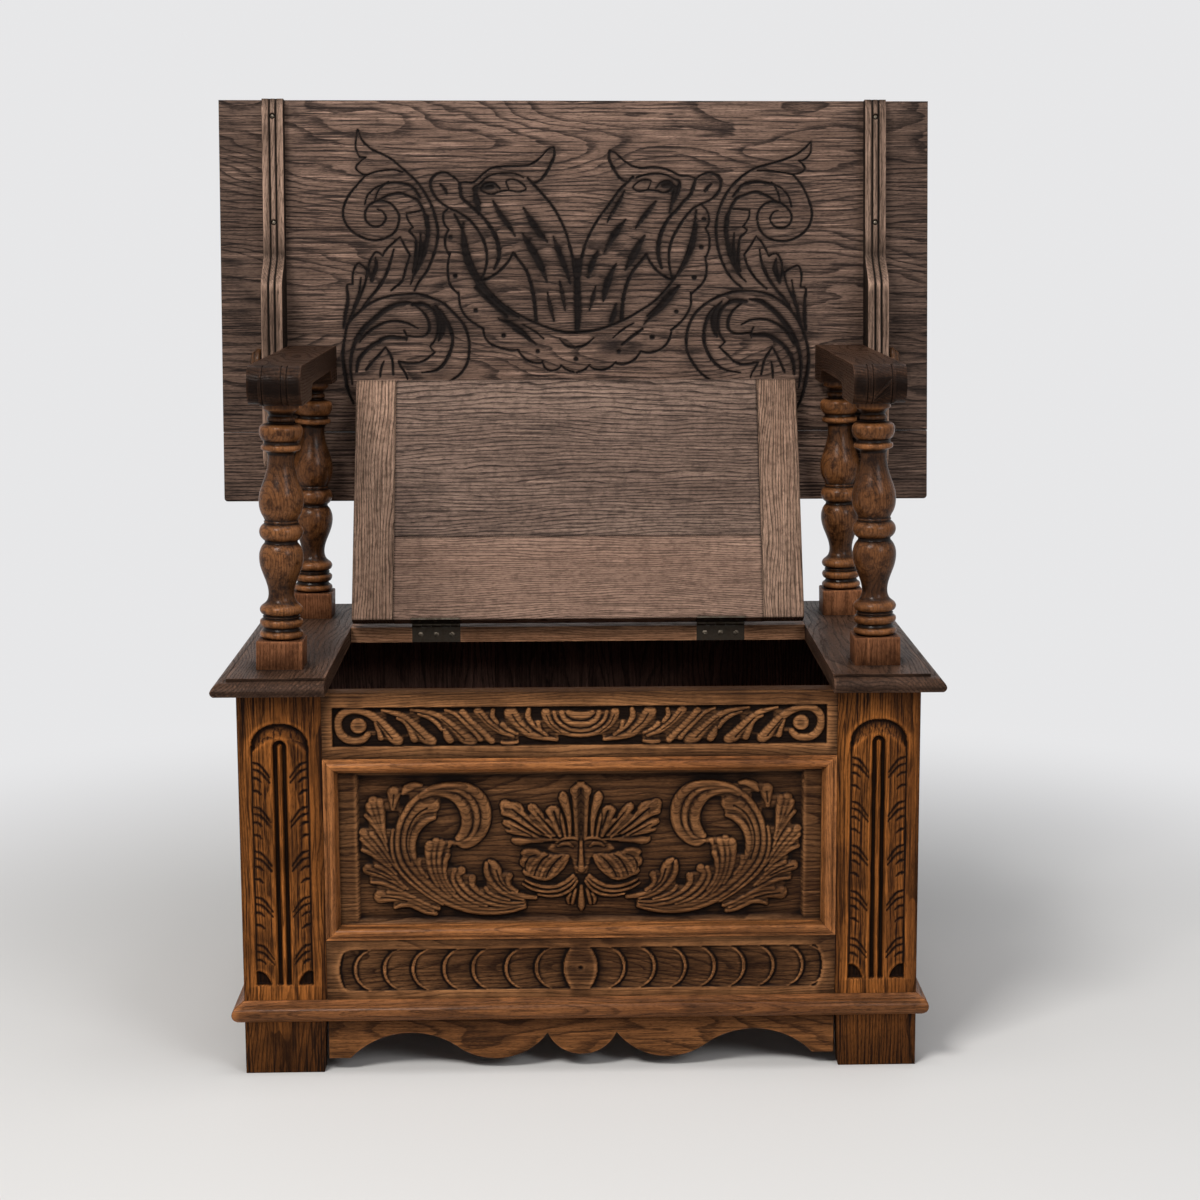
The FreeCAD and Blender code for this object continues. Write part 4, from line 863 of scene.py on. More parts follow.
# Depth, and darkening by stain and painted shade, of the eye's line and of the grooves in the leaves
mask_eye_cut = (1.4, 0.9)
leaf_groove_cut = (1.8, 0.7)
leaf_grooves = (
    ((20.6, 38, 1.2), (21.6, 30, 1.6), (20.4, 20, 1.6), (18.4, 10, 1.2)),
    ((27.6, 36, 1.2), (25, 28, 1.6), (21.6, 18, 1.4)),
    ((70, 39, 0.9), (60, 30.4, 1.6), (49, 21, 1.8), (38, 12.6, 1.4)),
    ((72, 22.6, 0.7), (62, 17, 1), (50, 10.4, 0.9)),
    ((44, 34, 0.9), (35, 22.4, 1.2), (27, 12.4, 0.9)),
    ((13, 5.2, 1.2), (26, 4.6, 1.2), (38, 4.4, 0.8)),
    ((20, -11, 0.8), (27, -18, 1.5), (33.4, -27, 1.5), (36, -33, 0.9)),
    ((33, -9.6, 0.8), (40, -15, 1.5), (45.4, -24, 1.5), (48, -31, 0.9)),
    ((46, -9.4, 0.8), (53, -12, 1.3), (57, -19, 1.1), (57, -26, 0.8)),
    ((156, 41, 0.9), (166, 34.6, 1.2), (173, 24.6, 1.2), (177, 12, 1.2), (177.4, -1, 1.1), (173.6, -15, 1)),
    ((218, -23.4, 0.8), (207, -27.2, 1.1), (194, -33.6, 1)),
    ((204, -52, 0.9), (192, -53.4, 1.1), (178, -56.6, 1)),
    ((189.6, 55, 0.8), (190.8, 44, 0.8)),
    ((86.6, -25, 1), (82, -38, 1.2), (72, -47.4, 1)),
)


def panel_relief():
    relief = Relief(*panel_grid)
    for strokes, top, gain in panel_scrolls:
        for points in strokes:
            relief.add(points, top, gain)
    relief.bridge(*panel_bridge)
    for outline in mask_outlines:
        relief.fill(outline, mask_leaf_top, mask_leaf_rounding)
    relief.fill(mask_plate, mask_plate_top, mask_plate_rounding)
    for strokes, top in mask_ribs:
        for points in strokes:
            relief.add(points, top)
    for points, depth, stain_and_shade in mask_hollows:
        relief.cut(points, depth, stain_and_shade)
    for points, top in mask_features:
        relief.add(points, top)
    relief.cut(mask_eye_line, *mask_eye_cut)
    for points in leaf_grooves:
        relief.cut(points, *leaf_groove_cut)
    relief.mirror()
    half_wide, half_tall = panel_field
    across = np.clip((half_wide - np.abs(relief.x)) / panel_ramp, panel_rim, 1)
    along = np.clip((half_tall - np.abs(relief.z)) / panel_ramp, 0, 1)
    return relief.finish(panel_ground, np.minimum(across[None, :], along[:, None]), stain_and_shade=0.08, strength=0.9)


# Frieze carving: the right half, from the middle of its sunk field

frieze_grid = (-251, 251, -22, 22, 0.6)
frieze_drop = 1.6
frieze_ground = 4.0
frieze_field = (249.5, 20.1)
frieze_top = 3.8
frieze_gain = 1.42
frieze_bridge = (3.0, 0.6)
frieze_eye_top = 3.7
# The frieze's grooves: depth, and darkening by stain and painted shade
frieze_groove_cut = (1.3, 0.6)
frieze_leaves = (
    ((214.4, -8, 2.6), (220, -13, 3), (229, -14.6, 3.2), (238, -10.6, 3.2), (243.6, -2, 3.2),
     (243.4, 8, 3.2), (237, 15.4, 3.2), (227, 17.6, 3), (215, 14.6, 3), (204.6, 8, 3.4), (196.4, -1, 4),
     (190, -9, 4.6), (184.6, -14.4, 4.4)),
    ((199.6, 17.4, 1), (190, 15, 1.8), (180, 11.4, 2.4), (171, 4.4, 3.4), (163.4, -4, 4),
     (156.6, -11.4, 4.6), (150.8, -15.8, 4.4)),
    ((170.6, 17.6, 1), (158, 15.6, 1.8), (145, 11.8, 2.4), (133.6, 4.6, 3.2), (124.6, -4, 4),
     (117, -11.4, 5), (111, -15.4, 5.6)),
    ((118.6, 14.4, 3), (112, 6.8, 3), (103.6, -1.6, 3), (95.6, -9, 3), (89.6, -15.4, 2.8)),
    ((103, 15.4, 3.6), (97.6, 9, 3.4), (89.6, 1.4, 3), (80, -5.6, 2.4), (68, -10.4, 1.6)),
    ((70, 13.6, 5.2), (65.6, 6.6, 5.2), (59, -1, 4.6), (50.6, -8, 3.6), (39, -12, 2.4), (24, -14.4, 1.4)),
    ((34.8, 13.4, 3.6), (32.6, 6, 3.4), (26.4, -1.6, 2.8), (17, -7, 2.2), (8, -9.4, 1.8), (0, -10, 1.8)),
    ((26.6, 13.6, 1.6), (24.2, 6.6, 1.8), (18.2, 0.4, 1.8), (9.6, -4.2, 1.8), (0, -5.4, 1.8)),
    ((18.8, 13, 2.4), (15.8, 6.8, 2.8), (9, 2.4, 3), (0, 1, 3.2)),
    ((12, 13, 2.4), (7, 10.4, 3.2), (0, 9.4, 3.6)),
    ((184, 8.8, 1.2), (178.6, 6.6, 1.8), (173.8, 1.4, 2), (169.6, -6, 3), (167.2, -12.6, 3)),
    ((163, 13, 1), (152.6, 9.6, 1.8), (144.4, 3.6, 2), (140, -3, 1.4)),
    ((137, -3.4, 1.6), (134, -9.6, 3.2), (131.6, -13.8, 3.2)),
    ((206.6, 4, 1), (203, -4, 2), (201, -11, 2.4)),
    ((136, 17, 1), (126, 12.6, 1.6), (115.6, 3, 2), (107, -5.6, 2.2), (101, -13, 2.6)),
    ((88, 16.6, 1.6), (88.6, 9.6, 2), (84, 3.6, 1.6)),
    ((52, 17, 1.8), (53, 9.6, 2.4), (49, 2.4, 2), (42, -4.6, 1.6)),
    ((79, -17, 1.6), (72, -17.4, 2.2), (64, -16.6, 1.4)),
    ((78.4, 1, 2.4), (73, -3.6, 2), (64, -8, 1.4)),
    ((42.6, 3, 2), (41, -4, 2), (34, -10, 1.6)),
)
frieze_grooves = (
    ((204.6, 6, 0.8), (196, -4, 1), (189.4, -12, 1)),
    ((176, 6.6, 0.8), (166, -3.6, 1.1), (157, -12.6, 1.1)),
    ((140, 8, 0.8), (128, -2.4, 1.1), (117, -13, 1.2)),
    ((68.6, 12, 0.9), (63, 3, 1.1), (52, -6.6, 0.9)),
    ((102, 13.6, 0.8), (93, 3, 0.9), (82, -5, 0.8)),
    ((34.4, 11, 0.8), (29.6, 1.4, 0.9), (19, -7.6, 0.8)),
)
frieze_eye = ((223.2, 1.2, 8.4), (223.6, 1.2, 8.4))


def frieze_relief():
    relief = Relief(*frieze_grid)
    for points in frieze_leaves:
        relief.add(points, frieze_top, frieze_gain)
    relief.bridge(*frieze_bridge)
    relief.add(frieze_eye, frieze_eye_top, section=flat_topped)
    for points in frieze_grooves:
        relief.cut(points, *frieze_groove_cut)
    relief.mirror()
    half_wide, half_tall = frieze_field
    field = (np.abs(relief.x)[None, :] < half_wide) & (np.abs(relief.z)[:, None] < half_tall)
    return relief.finish(frieze_ground, field, stain_and_shade=0.45)


# Lunettes: a disc, and on each side dished coins that overlap away from it

lunette_grid = (-250, 250, -23.5, 23.5, 0.8)
lunette_rise = 10.25
lunette_ground = 4.0
lunette_field = (247.0, 21.7)
lunette_rims = {
    1: (16.0, 45.2, 76.0, 107.7, 137.8, 168.2, 198.3, 228.4, 252.0),
    -1: (18.5, 48.2, 79.2, 113.0, 142.6, 174.2, 203.4, 233.0, 255.0),
}
lunette_bend = 22.4
lunette_disc_bend = 36.0
lunette_end_bend = 0.45
lunette_rim_width = 3.0
# A coin's height at its inner edge, its rise to the outer one, its bowl's rise, and its rim's foot and rise
coin_low = 0.2
coin_slope = 1.5
coin_bowl = 1.7
coin_rim_foot = 2.3
coin_rim_rise = 1.6
lunette_eye = (-1.2, 0.0, 2.4)
lunette_eye_depth = 2.6


def bend_back(radius, z):
    """How far an arc of a circle has bent back at each height."""
    return (radius - np.sqrt(np.clip(radius ** 2 - z ** 2, 0, None)))[:, None]


def lunette_relief():
    relief = Relief(*lunette_grid)
    half_wide, half_tall = lunette_field
    bend = bend_back(lunette_bend, relief.z)
    disc_bend = bend_back(lunette_disc_bend, relief.z)
    bowl = coin_bowl * (relief.z / half_tall)[:, None] ** 2
    for side, rims in lunette_rims.items():
        away = side * relief.x[None, :]
        surface = np.zeros_like(relief.raised)
        for number, (inner, outer) in enumerate(zip(rims, rims[1:])):
            start = inner - (disc_bend if number == 0 else bend)
            end = outer - bend
            share = np.clip((away - start) / (end - start), 0, 1)
            coin = coin_low + coin_slope * share ** 1.2 + bowl
            rim = rounded(np.clip(np.abs(away - end + lunette_rim_width / 2) / (lunette_rim_width / 2), 0, 1))
            coin = np.maximum(coin, np.where(rim > 0, coin_rim_foot + coin_rim_rise * rim, 0))
            surface = np.where((away >= start) & (away < end), coin, surface)
        surface = np.where(away < rims[0] - disc_bend, lunette_ground, surface)
        relief.raised = np.where(away >= 0, surface, relief.raised)
    eye_x, eye_z, eye_radius = lunette_eye
    eye = np.hypot(relief.x[None, :] - eye_x, relief.z[:, None] - eye_z) / eye_radius
    relief.cuts = lunette_eye_depth * np.clip(1.4 * (1 - eye), 0, 1)
    # The eye's hole darkened by stain and painted shade
    relief.stain_and_shade = np.clip(2 * (1 - eye), 0, 1)
    ends = half_wide - lunette_end_bend * bend
    return relief.finish(
        lunette_ground, (np.abs(relief.x)[None, :] < ends) & (np.abs(relief.z)[:, None] < half_tall))


# Stiles: a round-headed sunk field with a reed between two columns of chip cuts

stile_step = 0.8
stile_margin = 2.4
stile_offset = 0.4
stile_half = 28.5
stile_low = 93.0
stile_high = 365.6
stile_depth = 5.0
stile_head_rise = 23.0
stile_groove_drop = 18.0
stile_groove_half = 6.0
stile_groove_wall = 1.2
stile_reed_half = 2.6
stile_corner = (13.0, 13.0)
stile_corner_wall = 0.15
# Heights of the columns, of their sunk borders and of the reed, as shares of the field's depth
stile_column_share = 0.95
stile_border_share = 0.70
stile_reed_share = 0.93
# How far in from the field's edge a column reaches its height, on its sides and more under the head
stile_scoop_side = 1.6
stile_scoop_head = 15.0
stile_scoop_start = 6.0
stile_scoop_growth = 14.0
stile_scoop_curve = 0.9
stile_scoop_scale = 25.0
stile_border_start = 2.0
stile_border_growth = 10.0
stile_long_cuts = (326.0, 280.0, 234.0, 186.0, 136.0)
# Chip cuts below each of those heights
stile_chips = (
    ((26.5, 0, 1.2), (19.6, -3, 1.8), (10.2, -15.6, 1)),
    ((26.5, -7, 1.2), (19.6, -10, 1.8), (10.2, -21, 1)),
    ((27, -16, 1.5), (23.4, -16.4, 1.8), (19, -20, 0.9)),
    ((27, -29, 1.5), (23.4, -29.4, 1.8), (19, -33, 0.9)),
)
stile_chip_depths = (1.8, 1.8, 1.7, 1.7)
# Chip cuts are darkened by stain and painted shade
stile_chip_stain_and_shade = 0.95
stile_foot_chamfer = 5.0
stile_foot_reach = 20.0


def stile_relief():
    half = stile_half + stile_margin
    relief = Relief(-half, half, stile_low - stile_margin, stile_high + stile_margin, stile_step)
    x = relief.x[None, :]
    z = relief.z[:, None]
    spring = stile_high - stile_head_rise
    head = np.hypot(x / stile_half, np.maximum(z - spring, 0) / stile_head_rise)
    # A scoop under the round head, which narrows to a thin line beside the columns
    widening = np.clip((z - spring + stile_scoop_start) / stile_scoop_growth, 0, 1)
    reach = stile_scoop_side + stile_scoop_head * widening
    rise = np.clip((1 - head) * stile_scoop_scale / reach, 0, 1) ** stile_scoop_curve
    border = np.clip((spring - stile_border_start - z) / stile_border_growth, 0, 1)
    column = np.maximum(stile_depth * stile_column_share * rise, stile_depth * stile_border_share * border)
    groove = np.hypot(x, np.maximum(z - stile_high + stile_groove_drop + stile_groove_half, 0))
    column = column * np.clip((groove - stile_groove_half) / stile_groove_wall, 0, 1)
    corner = np.hypot((stile_half - np.abs(x)) / stile_corner[0], (z - stile_low) / stile_corner[1])
    column = column * np.clip((corner - 1) / stile_corner_wall, 0, 1)
    reed = stile_depth * stile_reed_share * rounded(np.clip(groove / stile_reed_half, 0, 1))
    relief.raised = np.maximum(column, reed)
    for top in stile_long_cuts:
        for chip, depth in zip(stile_chips, stile_chip_depths):
            relief.cut([(across, top + up, half) for across, up, half in chip], depth, stile_chip_stain_and_shade)
    relief.mirror()
    return relief.finish(stile_depth, (head < 1) & (z > stile_low), stain_and_shade=0.5, strength=0.75)


def stile_foot(sign):
    """How far a stile's inner edge is cut back at its foot, as a shift across the board."""
    def shift(wide, tall):
        rise = np.clip(stile_foot_chamfer - tall, 0, None)
        return sign * rise * np.clip(1 - (sign * wide - METRE * stile_inner) / stile_foot_reach, 0, 1)
    return shift


# Table top: incised lines of the right half, as (across, up from the pivot, half width)

table_lines = (
    ((39.6, 242, 1.6), (38.4, 234, 1.8), (41.4, 226, 2), (47, 216, 2), (52.6, 209.4, 1.6),
     (60, 206.6, 1.2)),
    ((40.6, 242, 1), (46.6, 238.8, 1.2), (54.6, 231.6, 1.3), (64.5, 225, 1.3), (76, 222.4, 1.3),
     (87.5, 223.2, 1.3), (99, 222.2, 1.3), (109.4, 219, 1.3), (120.4, 213.6, 1.3), (130.3, 213, 1.2),
     (138.5, 210.2, 1.2)),
    ((138.5, 210.2, 1.2), (145, 214.6, 1.4), (153.3, 216.8, 1.5), (161.4, 215, 1.8), (166.6, 209, 2),
     (166.8, 201, 2), (163, 193.2, 1.8), (155, 186, 1.5), (142, 180, 1.4), (135, 176, 1.5),
     (125.4, 165.4, 1.7), (117, 152.6, 1.8), (110.8, 141, 1.8), (107.4, 128, 1.8), (107.2, 115, 1.6),
     (109, 102, 1.4), (112, 95, 1.2)),
    ((138, 209, 2), (135.4, 201, 2.4), (131.8, 191.6, 2.2), (123.8, 183.4, 2), (117, 175.2, 2),
     (107.4, 165.4, 2), (100.6, 154, 2.4), (96.4, 142.4, 2.8), (94.6, 131, 3), (95.4, 119, 2.4),
     (98.6, 108, 1.6)),
    ((149, 196, 2), (152, 200.4, 2.4), (156.6, 204.4, 1.4)),
    ((92.4, 199.6, 1.2), (98.6, 206, 1.4), (107, 207.4, 1.4), (112.4, 202, 1.3), (109, 197, 1.2),
     (101, 194, 1.3), (92.4, 196.4, 1.3), (83, 197.2, 1.2), (72.6, 195.6, 1.2), (66, 200, 1.1),
     (72, 206.4, 1.2), (80, 209, 1.2), (86.4, 207.4, 1), (83.4, 198.4, 1)),
    ((100.6, 201.8, 2.6), (106.4, 202.4, 2.6)),
    ((70, 211.6, 1.1), (80, 214.6, 1.2), (92, 216, 1.2), (104, 214.4, 1.2), (113.6, 209.6, 1.2),
     (119.6, 206, 2), (117.4, 195, 2.4), (112.6, 184, 1.6)),
    ((66, 212, 1.6), (59.6, 206, 1.8), (49.8, 196.4, 1.7), (38, 180.2, 1.6), (26.6, 165.4, 1.6),
     (16.8, 149, 1.6), (10, 132.6, 1.6), (5.8, 116.4, 1.8), (3, 99, 2)),
    ((0, 118, 1.4), (0, 96, 2.6), (0, 76, 3), (0, 55, 2.8), (0, 38, 2.4)),
    ((81, 123, 2.2), (74.2, 115, 1.8), (64.6, 103.4, 2), (58, 88.8, 2.2), (54, 72.4, 2.4), (52, 50, 2.2)),
    ((81, 123, 1.4), (85.8, 114, 1.6), (94, 104, 1.6), (105, 96.4, 1.6), (112, 94.4, 1.4)),
    ((138.6, 173.6, 1.5), (137, 160.6, 1.6), (133.6, 144.3, 1.6), (128.6, 128, 1.6), (121.8, 111.4, 1.5),
     (112.2, 94.6, 1.4), (100.6, 80.6, 1.4), (88.8, 69, 1.4), (72.7, 58.6, 1.5), (54.4, 48.4, 1.5),
     (34.8, 40.6, 1.5), (17, 36, 1.5), (0, 34.4, 1.5)),
    ((145.6, 179.4, 1.3), (150.8, 174, 1.3), (153.4, 165.2, 1.4), (152.6, 158, 1.3), (149.4, 153.2, 1.2)),
    ((149.4, 153.2, 1.2), (153.4, 144.4, 1.4), (153.6, 131, 1.4), (149.6, 119.6, 1.3)),
    ((148.6, 121, 1.2), (150.6, 108.4, 1.4), (148.4, 95.4, 1.5), (142, 86.6, 1.5), (132.6, 78.4, 1.4)),
    ((132.2, 80, 1.2), (132, 66, 1.5), (127, 54.2, 1.5), (118.8, 44.4, 1.5), (109, 36.6, 1.3)),
    ((110, 38, 1.2), (107.4, 27.4, 1.5), (101.6, 18.4, 1.5), (92, 12.6, 1.5), (82, 11, 1.5),
     (73, 12.4, 1.2)),
    ((74.6, 13, 1.2), (68, 4.4, 1.4), (60.6, -0.6, 1.4), (52.6, -2.4, 1.4), (44, -1.4, 1.2)),
    ((45, 0, 1.2), (38, -6, 1.4), (29, -8.6, 1.4), (20, -7.4, 1.2), (14, -3.6, 1.2)),
    ((15, -3, 1.2), (8, -9, 1.4), (0, -11.4, 1.4)),
    ((117, 86, 2.2), (99, 67.6, 2.4), (82, 53, 1.6)),
    ((66, 45, 1), (54, 38, 1.2), (42, 28, 1)),
    ((76, 38, 1.6), (66, 31, 2.2), (52, 20, 1.2)),
    ((20, 28, 1), (10, 20, 1.6), (0, 17, 1.6)),
)
scroll_lines = (
    ((271.6, 253, 1), (263.6, 244.6, 1.4), (252, 236.8, 1.4), (232, 229.4, 1.4), (215.6, 225, 1.4),
     (201, 219.2, 1.5), (187.8, 209.6, 1.6), (176, 196.6, 1.7), (167.8, 181.8, 1.8), (163, 167, 1.8),
     (161.4, 150.6, 1.8), (163, 134.4, 1.7), (166.8, 119.6, 1.7), (173.2, 105, 1.6), (181.4, 93.6, 1.5),
     (191.6, 84.8, 1.4)),
    ((271.8, 253, 1), (270.6, 240, 1.2), (264, 232.4, 1.2), (257.4, 230.8, 1)),
    ((257, 231, 1), (262, 226.4, 1.2), (264.2, 221.6, 1.2), (260, 217.4, 1.2), (250.2, 215.4, 1.2),
     (240.4, 217.2, 1.2), (224, 218.8, 1.2), (209, 219.2, 1)),
    ((250.2, 215.2, 1.2), (260.4, 203, 1.4), (268.4, 186.8, 1.5), (272.4, 170.2, 1.5), (268.6, 155.6, 1.5),
     (257, 144.2, 1.5), (240.4, 138.6, 1.5), (224, 141.2, 1.5), (213.8, 149.4, 1.5), (209.2, 162.2, 1.5),
     (211, 173.8, 1.5), (219, 181.8, 1.4), (230.6, 183.6, 1.4), (242, 178.4, 1.4), (248.6, 168.8, 1.4),
     (247, 159, 1.4), (238.8, 154, 1.4), (229, 155.8, 1.4), (224, 163.8, 1.3), (227.4, 171.2, 1.2),
     (233, 173.6, 1)),
    ((225.6, 206.2, 1), (232.2, 196.6, 1.2), (235.6, 184, 1)),
    ((237, 199.8, 1), (245.2, 190, 1.2), (248.8, 178, 1)),
    ((181.2, 190, 1.6), (192.6, 202.8, 2), (207.6, 206.6, 2), (224, 204.6, 1.6), (237, 199.8, 1)),
    ((174.4, 157, 2.2), (176.6, 172, 2), (184.6, 186.6, 1.8), (194.6, 191.6, 1.6), (207.6, 194.8, 1.8),
     (220.6, 190.4, 1.8), (231, 184, 1.2)),
    ((181.4, 175.4, 1.2), (187.8, 175.2, 1.2), (200, 174, 1.2)),
    ((200.2, 174.4, 1.2), (199.2, 165.4, 1.2), (192.8, 155.2, 1.2)),
    ((192.6, 155.4, 1.2), (197, 150.8, 1.2), (189.4, 142.6, 1.5), (187.6, 132.8, 1.6), (187.6, 116.4, 1.5),
     (189.6, 104, 1)),
    ((174, 168, 2.6), (173, 150.6, 2.8), (175.6, 131, 2.6), (180.4, 115, 2.2), (187.6, 101, 1.6),
     (196, 92, 1)),
    ((182.4, 148, 1), (181.6, 132, 1.5), (183.6, 114, 1.2), (188, 100, 1)),
    ((207.8, 144.4, 1), (201, 133, 1.4), (193.8, 123, 1.4)),
    ((193.8, 123.6, 1.2), (198, 110, 1.5), (207.6, 95.2, 1.6), (219.8, 84, 1.4)),
    ((207.8, 144.4, 1), (214, 137.6, 1.4), (219, 129, 1.4), (222.6, 121.4, 1.3)),
    ((222.4, 121.4, 1.2), (227.6, 124.4, 1.3), (232.4, 123.8, 1.3), (237.2, 114.8, 1.5), (238, 104, 1.4),
     (235.6, 94, 1)),
    ((211.8, 129.6, 1), (214, 115, 1.8), (220.6, 98.6, 2), (230.4, 83.8, 2), (240.4, 72.4, 1.8),
     (249, 59, 1.4)),
    ((231, 119, 1), (229.6, 107, 2.6), (235, 91, 2)),
    ((240.4, 102.6, 1.2), (248.6, 108, 1.4), (256.8, 110, 1.4), (260.4, 100, 1.4), (259, 86, 1.2)),
    ((258.8, 85.8, 1.2), (265.2, 84.2, 1.4), (264, 69, 2.2), (264, 51, 2.2), (265.6, 36, 1.6)),
    ((240, 103, 1.2), (243, 89, 1.4), (250, 74, 1.6), (255.4, 60, 1.6), (259, 44, 1.4)),
    ((249, 94, 1), (252, 76, 1.5), (257, 59, 1.2)),
    ((204.2, 81.6, 1.5), (187.8, 81.2, 1.6), (171.2, 77.8, 1.8), (155, 70.6, 1.8), (140, 59, 1.8),
     (131.4, 46, 1.8), (127, 30.6, 1.8), (127.4, 14, 1.8), (133.6, 0, 1.8), (142.4, -11.6, 1.6),
     (151, -18.6, 1.4), (160, -24, 1)),
    ((204.2, 81.6, 1.5), (220.8, 78, 1.6), (237.2, 69, 1.6), (250.4, 56, 1.6), (260, 40, 1.6),
     (265.4, 25.4, 1.8), (268.2, 11.2, 2), (268.2, -3.2, 2.2), (265.4, -20.4, 2.4), (261, -39, 2),
     (254, -55, 1.2)),
    ((160, 64, 1), (152.6, 54, 1.8), (148.4, 42, 2.2), (147, 30, 2.2), (148.6, 18, 2.2), (155.6, 4, 2.2),
     (165.6, -6, 1.8), (177.2, -10.6, 1.4), (189, -12, 1)),
    ((168, 69.6, 1.2), (160.6, 60, 2.4), (158, 47, 2.8), (159, 36, 2.4), (162, 29.4, 1.4)),
    ((196, 69.6, 2.6), (182, 70.6, 2.6), (170.6, 64, 2), (165, 54, 1.6), (163.6, 42, 1.6), (166, 31, 1.5),
     (171.6, 23, 1.3)),
    ((171.6, 23, 1.2), (168, 19.4, 1.2), (165, 17, 1.2)),
    ((165, 17, 1.2), (173, 9.6, 1.5), (181.6, 1, 1.6), (190.2, -2.4, 1.6), (200.4, -2.2, 1.5),
     (210, -0.4, 1.2)),
    ((210, -0.4, 1.2), (207, -6, 1.4), (203, -12, 1.2), (201, -18, 1)),
    ((191.8, 68, 1), (181.8, 60, 1.6), (176, 50, 2), (175, 40, 2), (180, 34, 1.7), (189, 32.8, 1.6),
     (200.4, 33.6, 1.6)),
    ((204.6, 40, 1.2), (201.6, 33, 1.4), (202, 28, 1.2)),
    ((190.4, 42.8, 1), (200.4, 47.8, 1.6), (212, 49.2, 1.7), (223.4, 47.6, 1.7), (235, 41.2, 1.7),
     (243.6, 32.6, 1.6), (251, 21, 1.2)),
    ((202.4, 30.6, 2.2), (212, 31, 2.8), (223.4, 29.4, 2.8), (234.6, 23, 2.6), (244.4, 12.6, 2.6),
     (250.4, 0, 2.4), (252, -14, 1.8)),
    ((200, 72, 1.2), (213, 69.4, 3), (225, 61.6, 3.2), (236, 51, 3), (246.4, 38, 2.8), (254, 23, 2.6),
     (258.6, 7, 2.2), (259.6, -10, 1.8), (257, -30, 1.2)),
    ((226.6, 17, 1.2), (221, 9, 1.6), (216.6, 0, 1.6), (213.4, -14, 1.4)),
    ((226.6, 17, 1.2), (233.6, 4, 1.6), (240.6, -12, 1.6)),
    ((225.4, 0, 1), (226.4, -8, 1.6), (227, -18, 1.2)),
)
table_dots = (
    (147.5, 164.4), (144.2, 132.4), (136, 97.2), (115.2, 58.2), (87.2, 28.8), (48.4, 12.8), (-1, 4),
    (-144, 143.5), (-139, 99), (-116, 60), (-84, 31), (-45, 13),
)
table_gouges = (
    ((92, 184, 1.6), (84, 174, 3.4), (76, 164, 3), (69, 154, 1.4)),
    ((56, 196, 1), (50, 184, 2.6), (40, 168, 2), (36, 160, 0.8)),
    ((57, 163, 1.2), (48, 152, 4), (39, 138, 3.8), (33, 127, 1.4)),
    ((79, 145, 1.6), (72, 134, 4.2), (63, 118, 4), (57, 106, 1.6)),
    ((25, 127, 1.4), (19, 114, 4), (14, 98, 2)),
    ((46, 113, 1.2), (38, 97, 4.2), (33, 80, 3.6), (31, 70, 1.2)),
    ((22, 86, 1), (19, 74, 2.8), (15, 60, 1.2)),
    ((46, 68, 1.2), (43, 56, 3.4), (39, 46, 2.6)),
    ((114, 201, 1.4), (112, 188, 2.6), (108, 172, 1.6)),
    ((138, 166, 1.6), (137, 148, 3), (132, 128, 3.4), (125, 112, 2.4), (118, 100, 1.4)),
    ((118, 87, 2), (108, 76, 4.2), (97, 63, 4), (86, 52, 2.6), (78, 44, 1.2)),
    ((-95, 185, 1.4), (-87, 170, 3.4), (-78, 158, 3.4), (-70, 145, 1.4)),
    ((-60, 177, 1.4), (-50, 160, 4), (-40, 146, 3.6), (-33, 138, 1.4)),
    ((-61, 147, 1.4), (-53, 133, 4.2), (-42, 114, 4.2), (-34, 93, 1.6)),
    ((-26, 144, 1.2), (-19, 124, 3.8), (-10, 100, 2.2), (-7, 90, 1)),
    ((-19, 93, 1.2), (-16, 78, 2.8), (-13, 60, 1.2)),
    ((-33, 79, 1.2), (-30, 64, 2.8), (-26, 48, 1.4)),
    ((-114, 200, 1.6), (-115, 188, 3), (-110, 174, 2)),
    ((-129, 160, 1.4), (-130, 142, 2.8), (-127, 122, 3.4), (-120, 104, 3.4), (-110, 89, 3.4),
     (-98, 75, 3.2), (-82, 61, 2.6), (-66, 51, 1.4)),
    ((-90, 50, 1), (-78, 45, 3), (-66, 38, 2.8), (-54, 29, 1.2)),
)
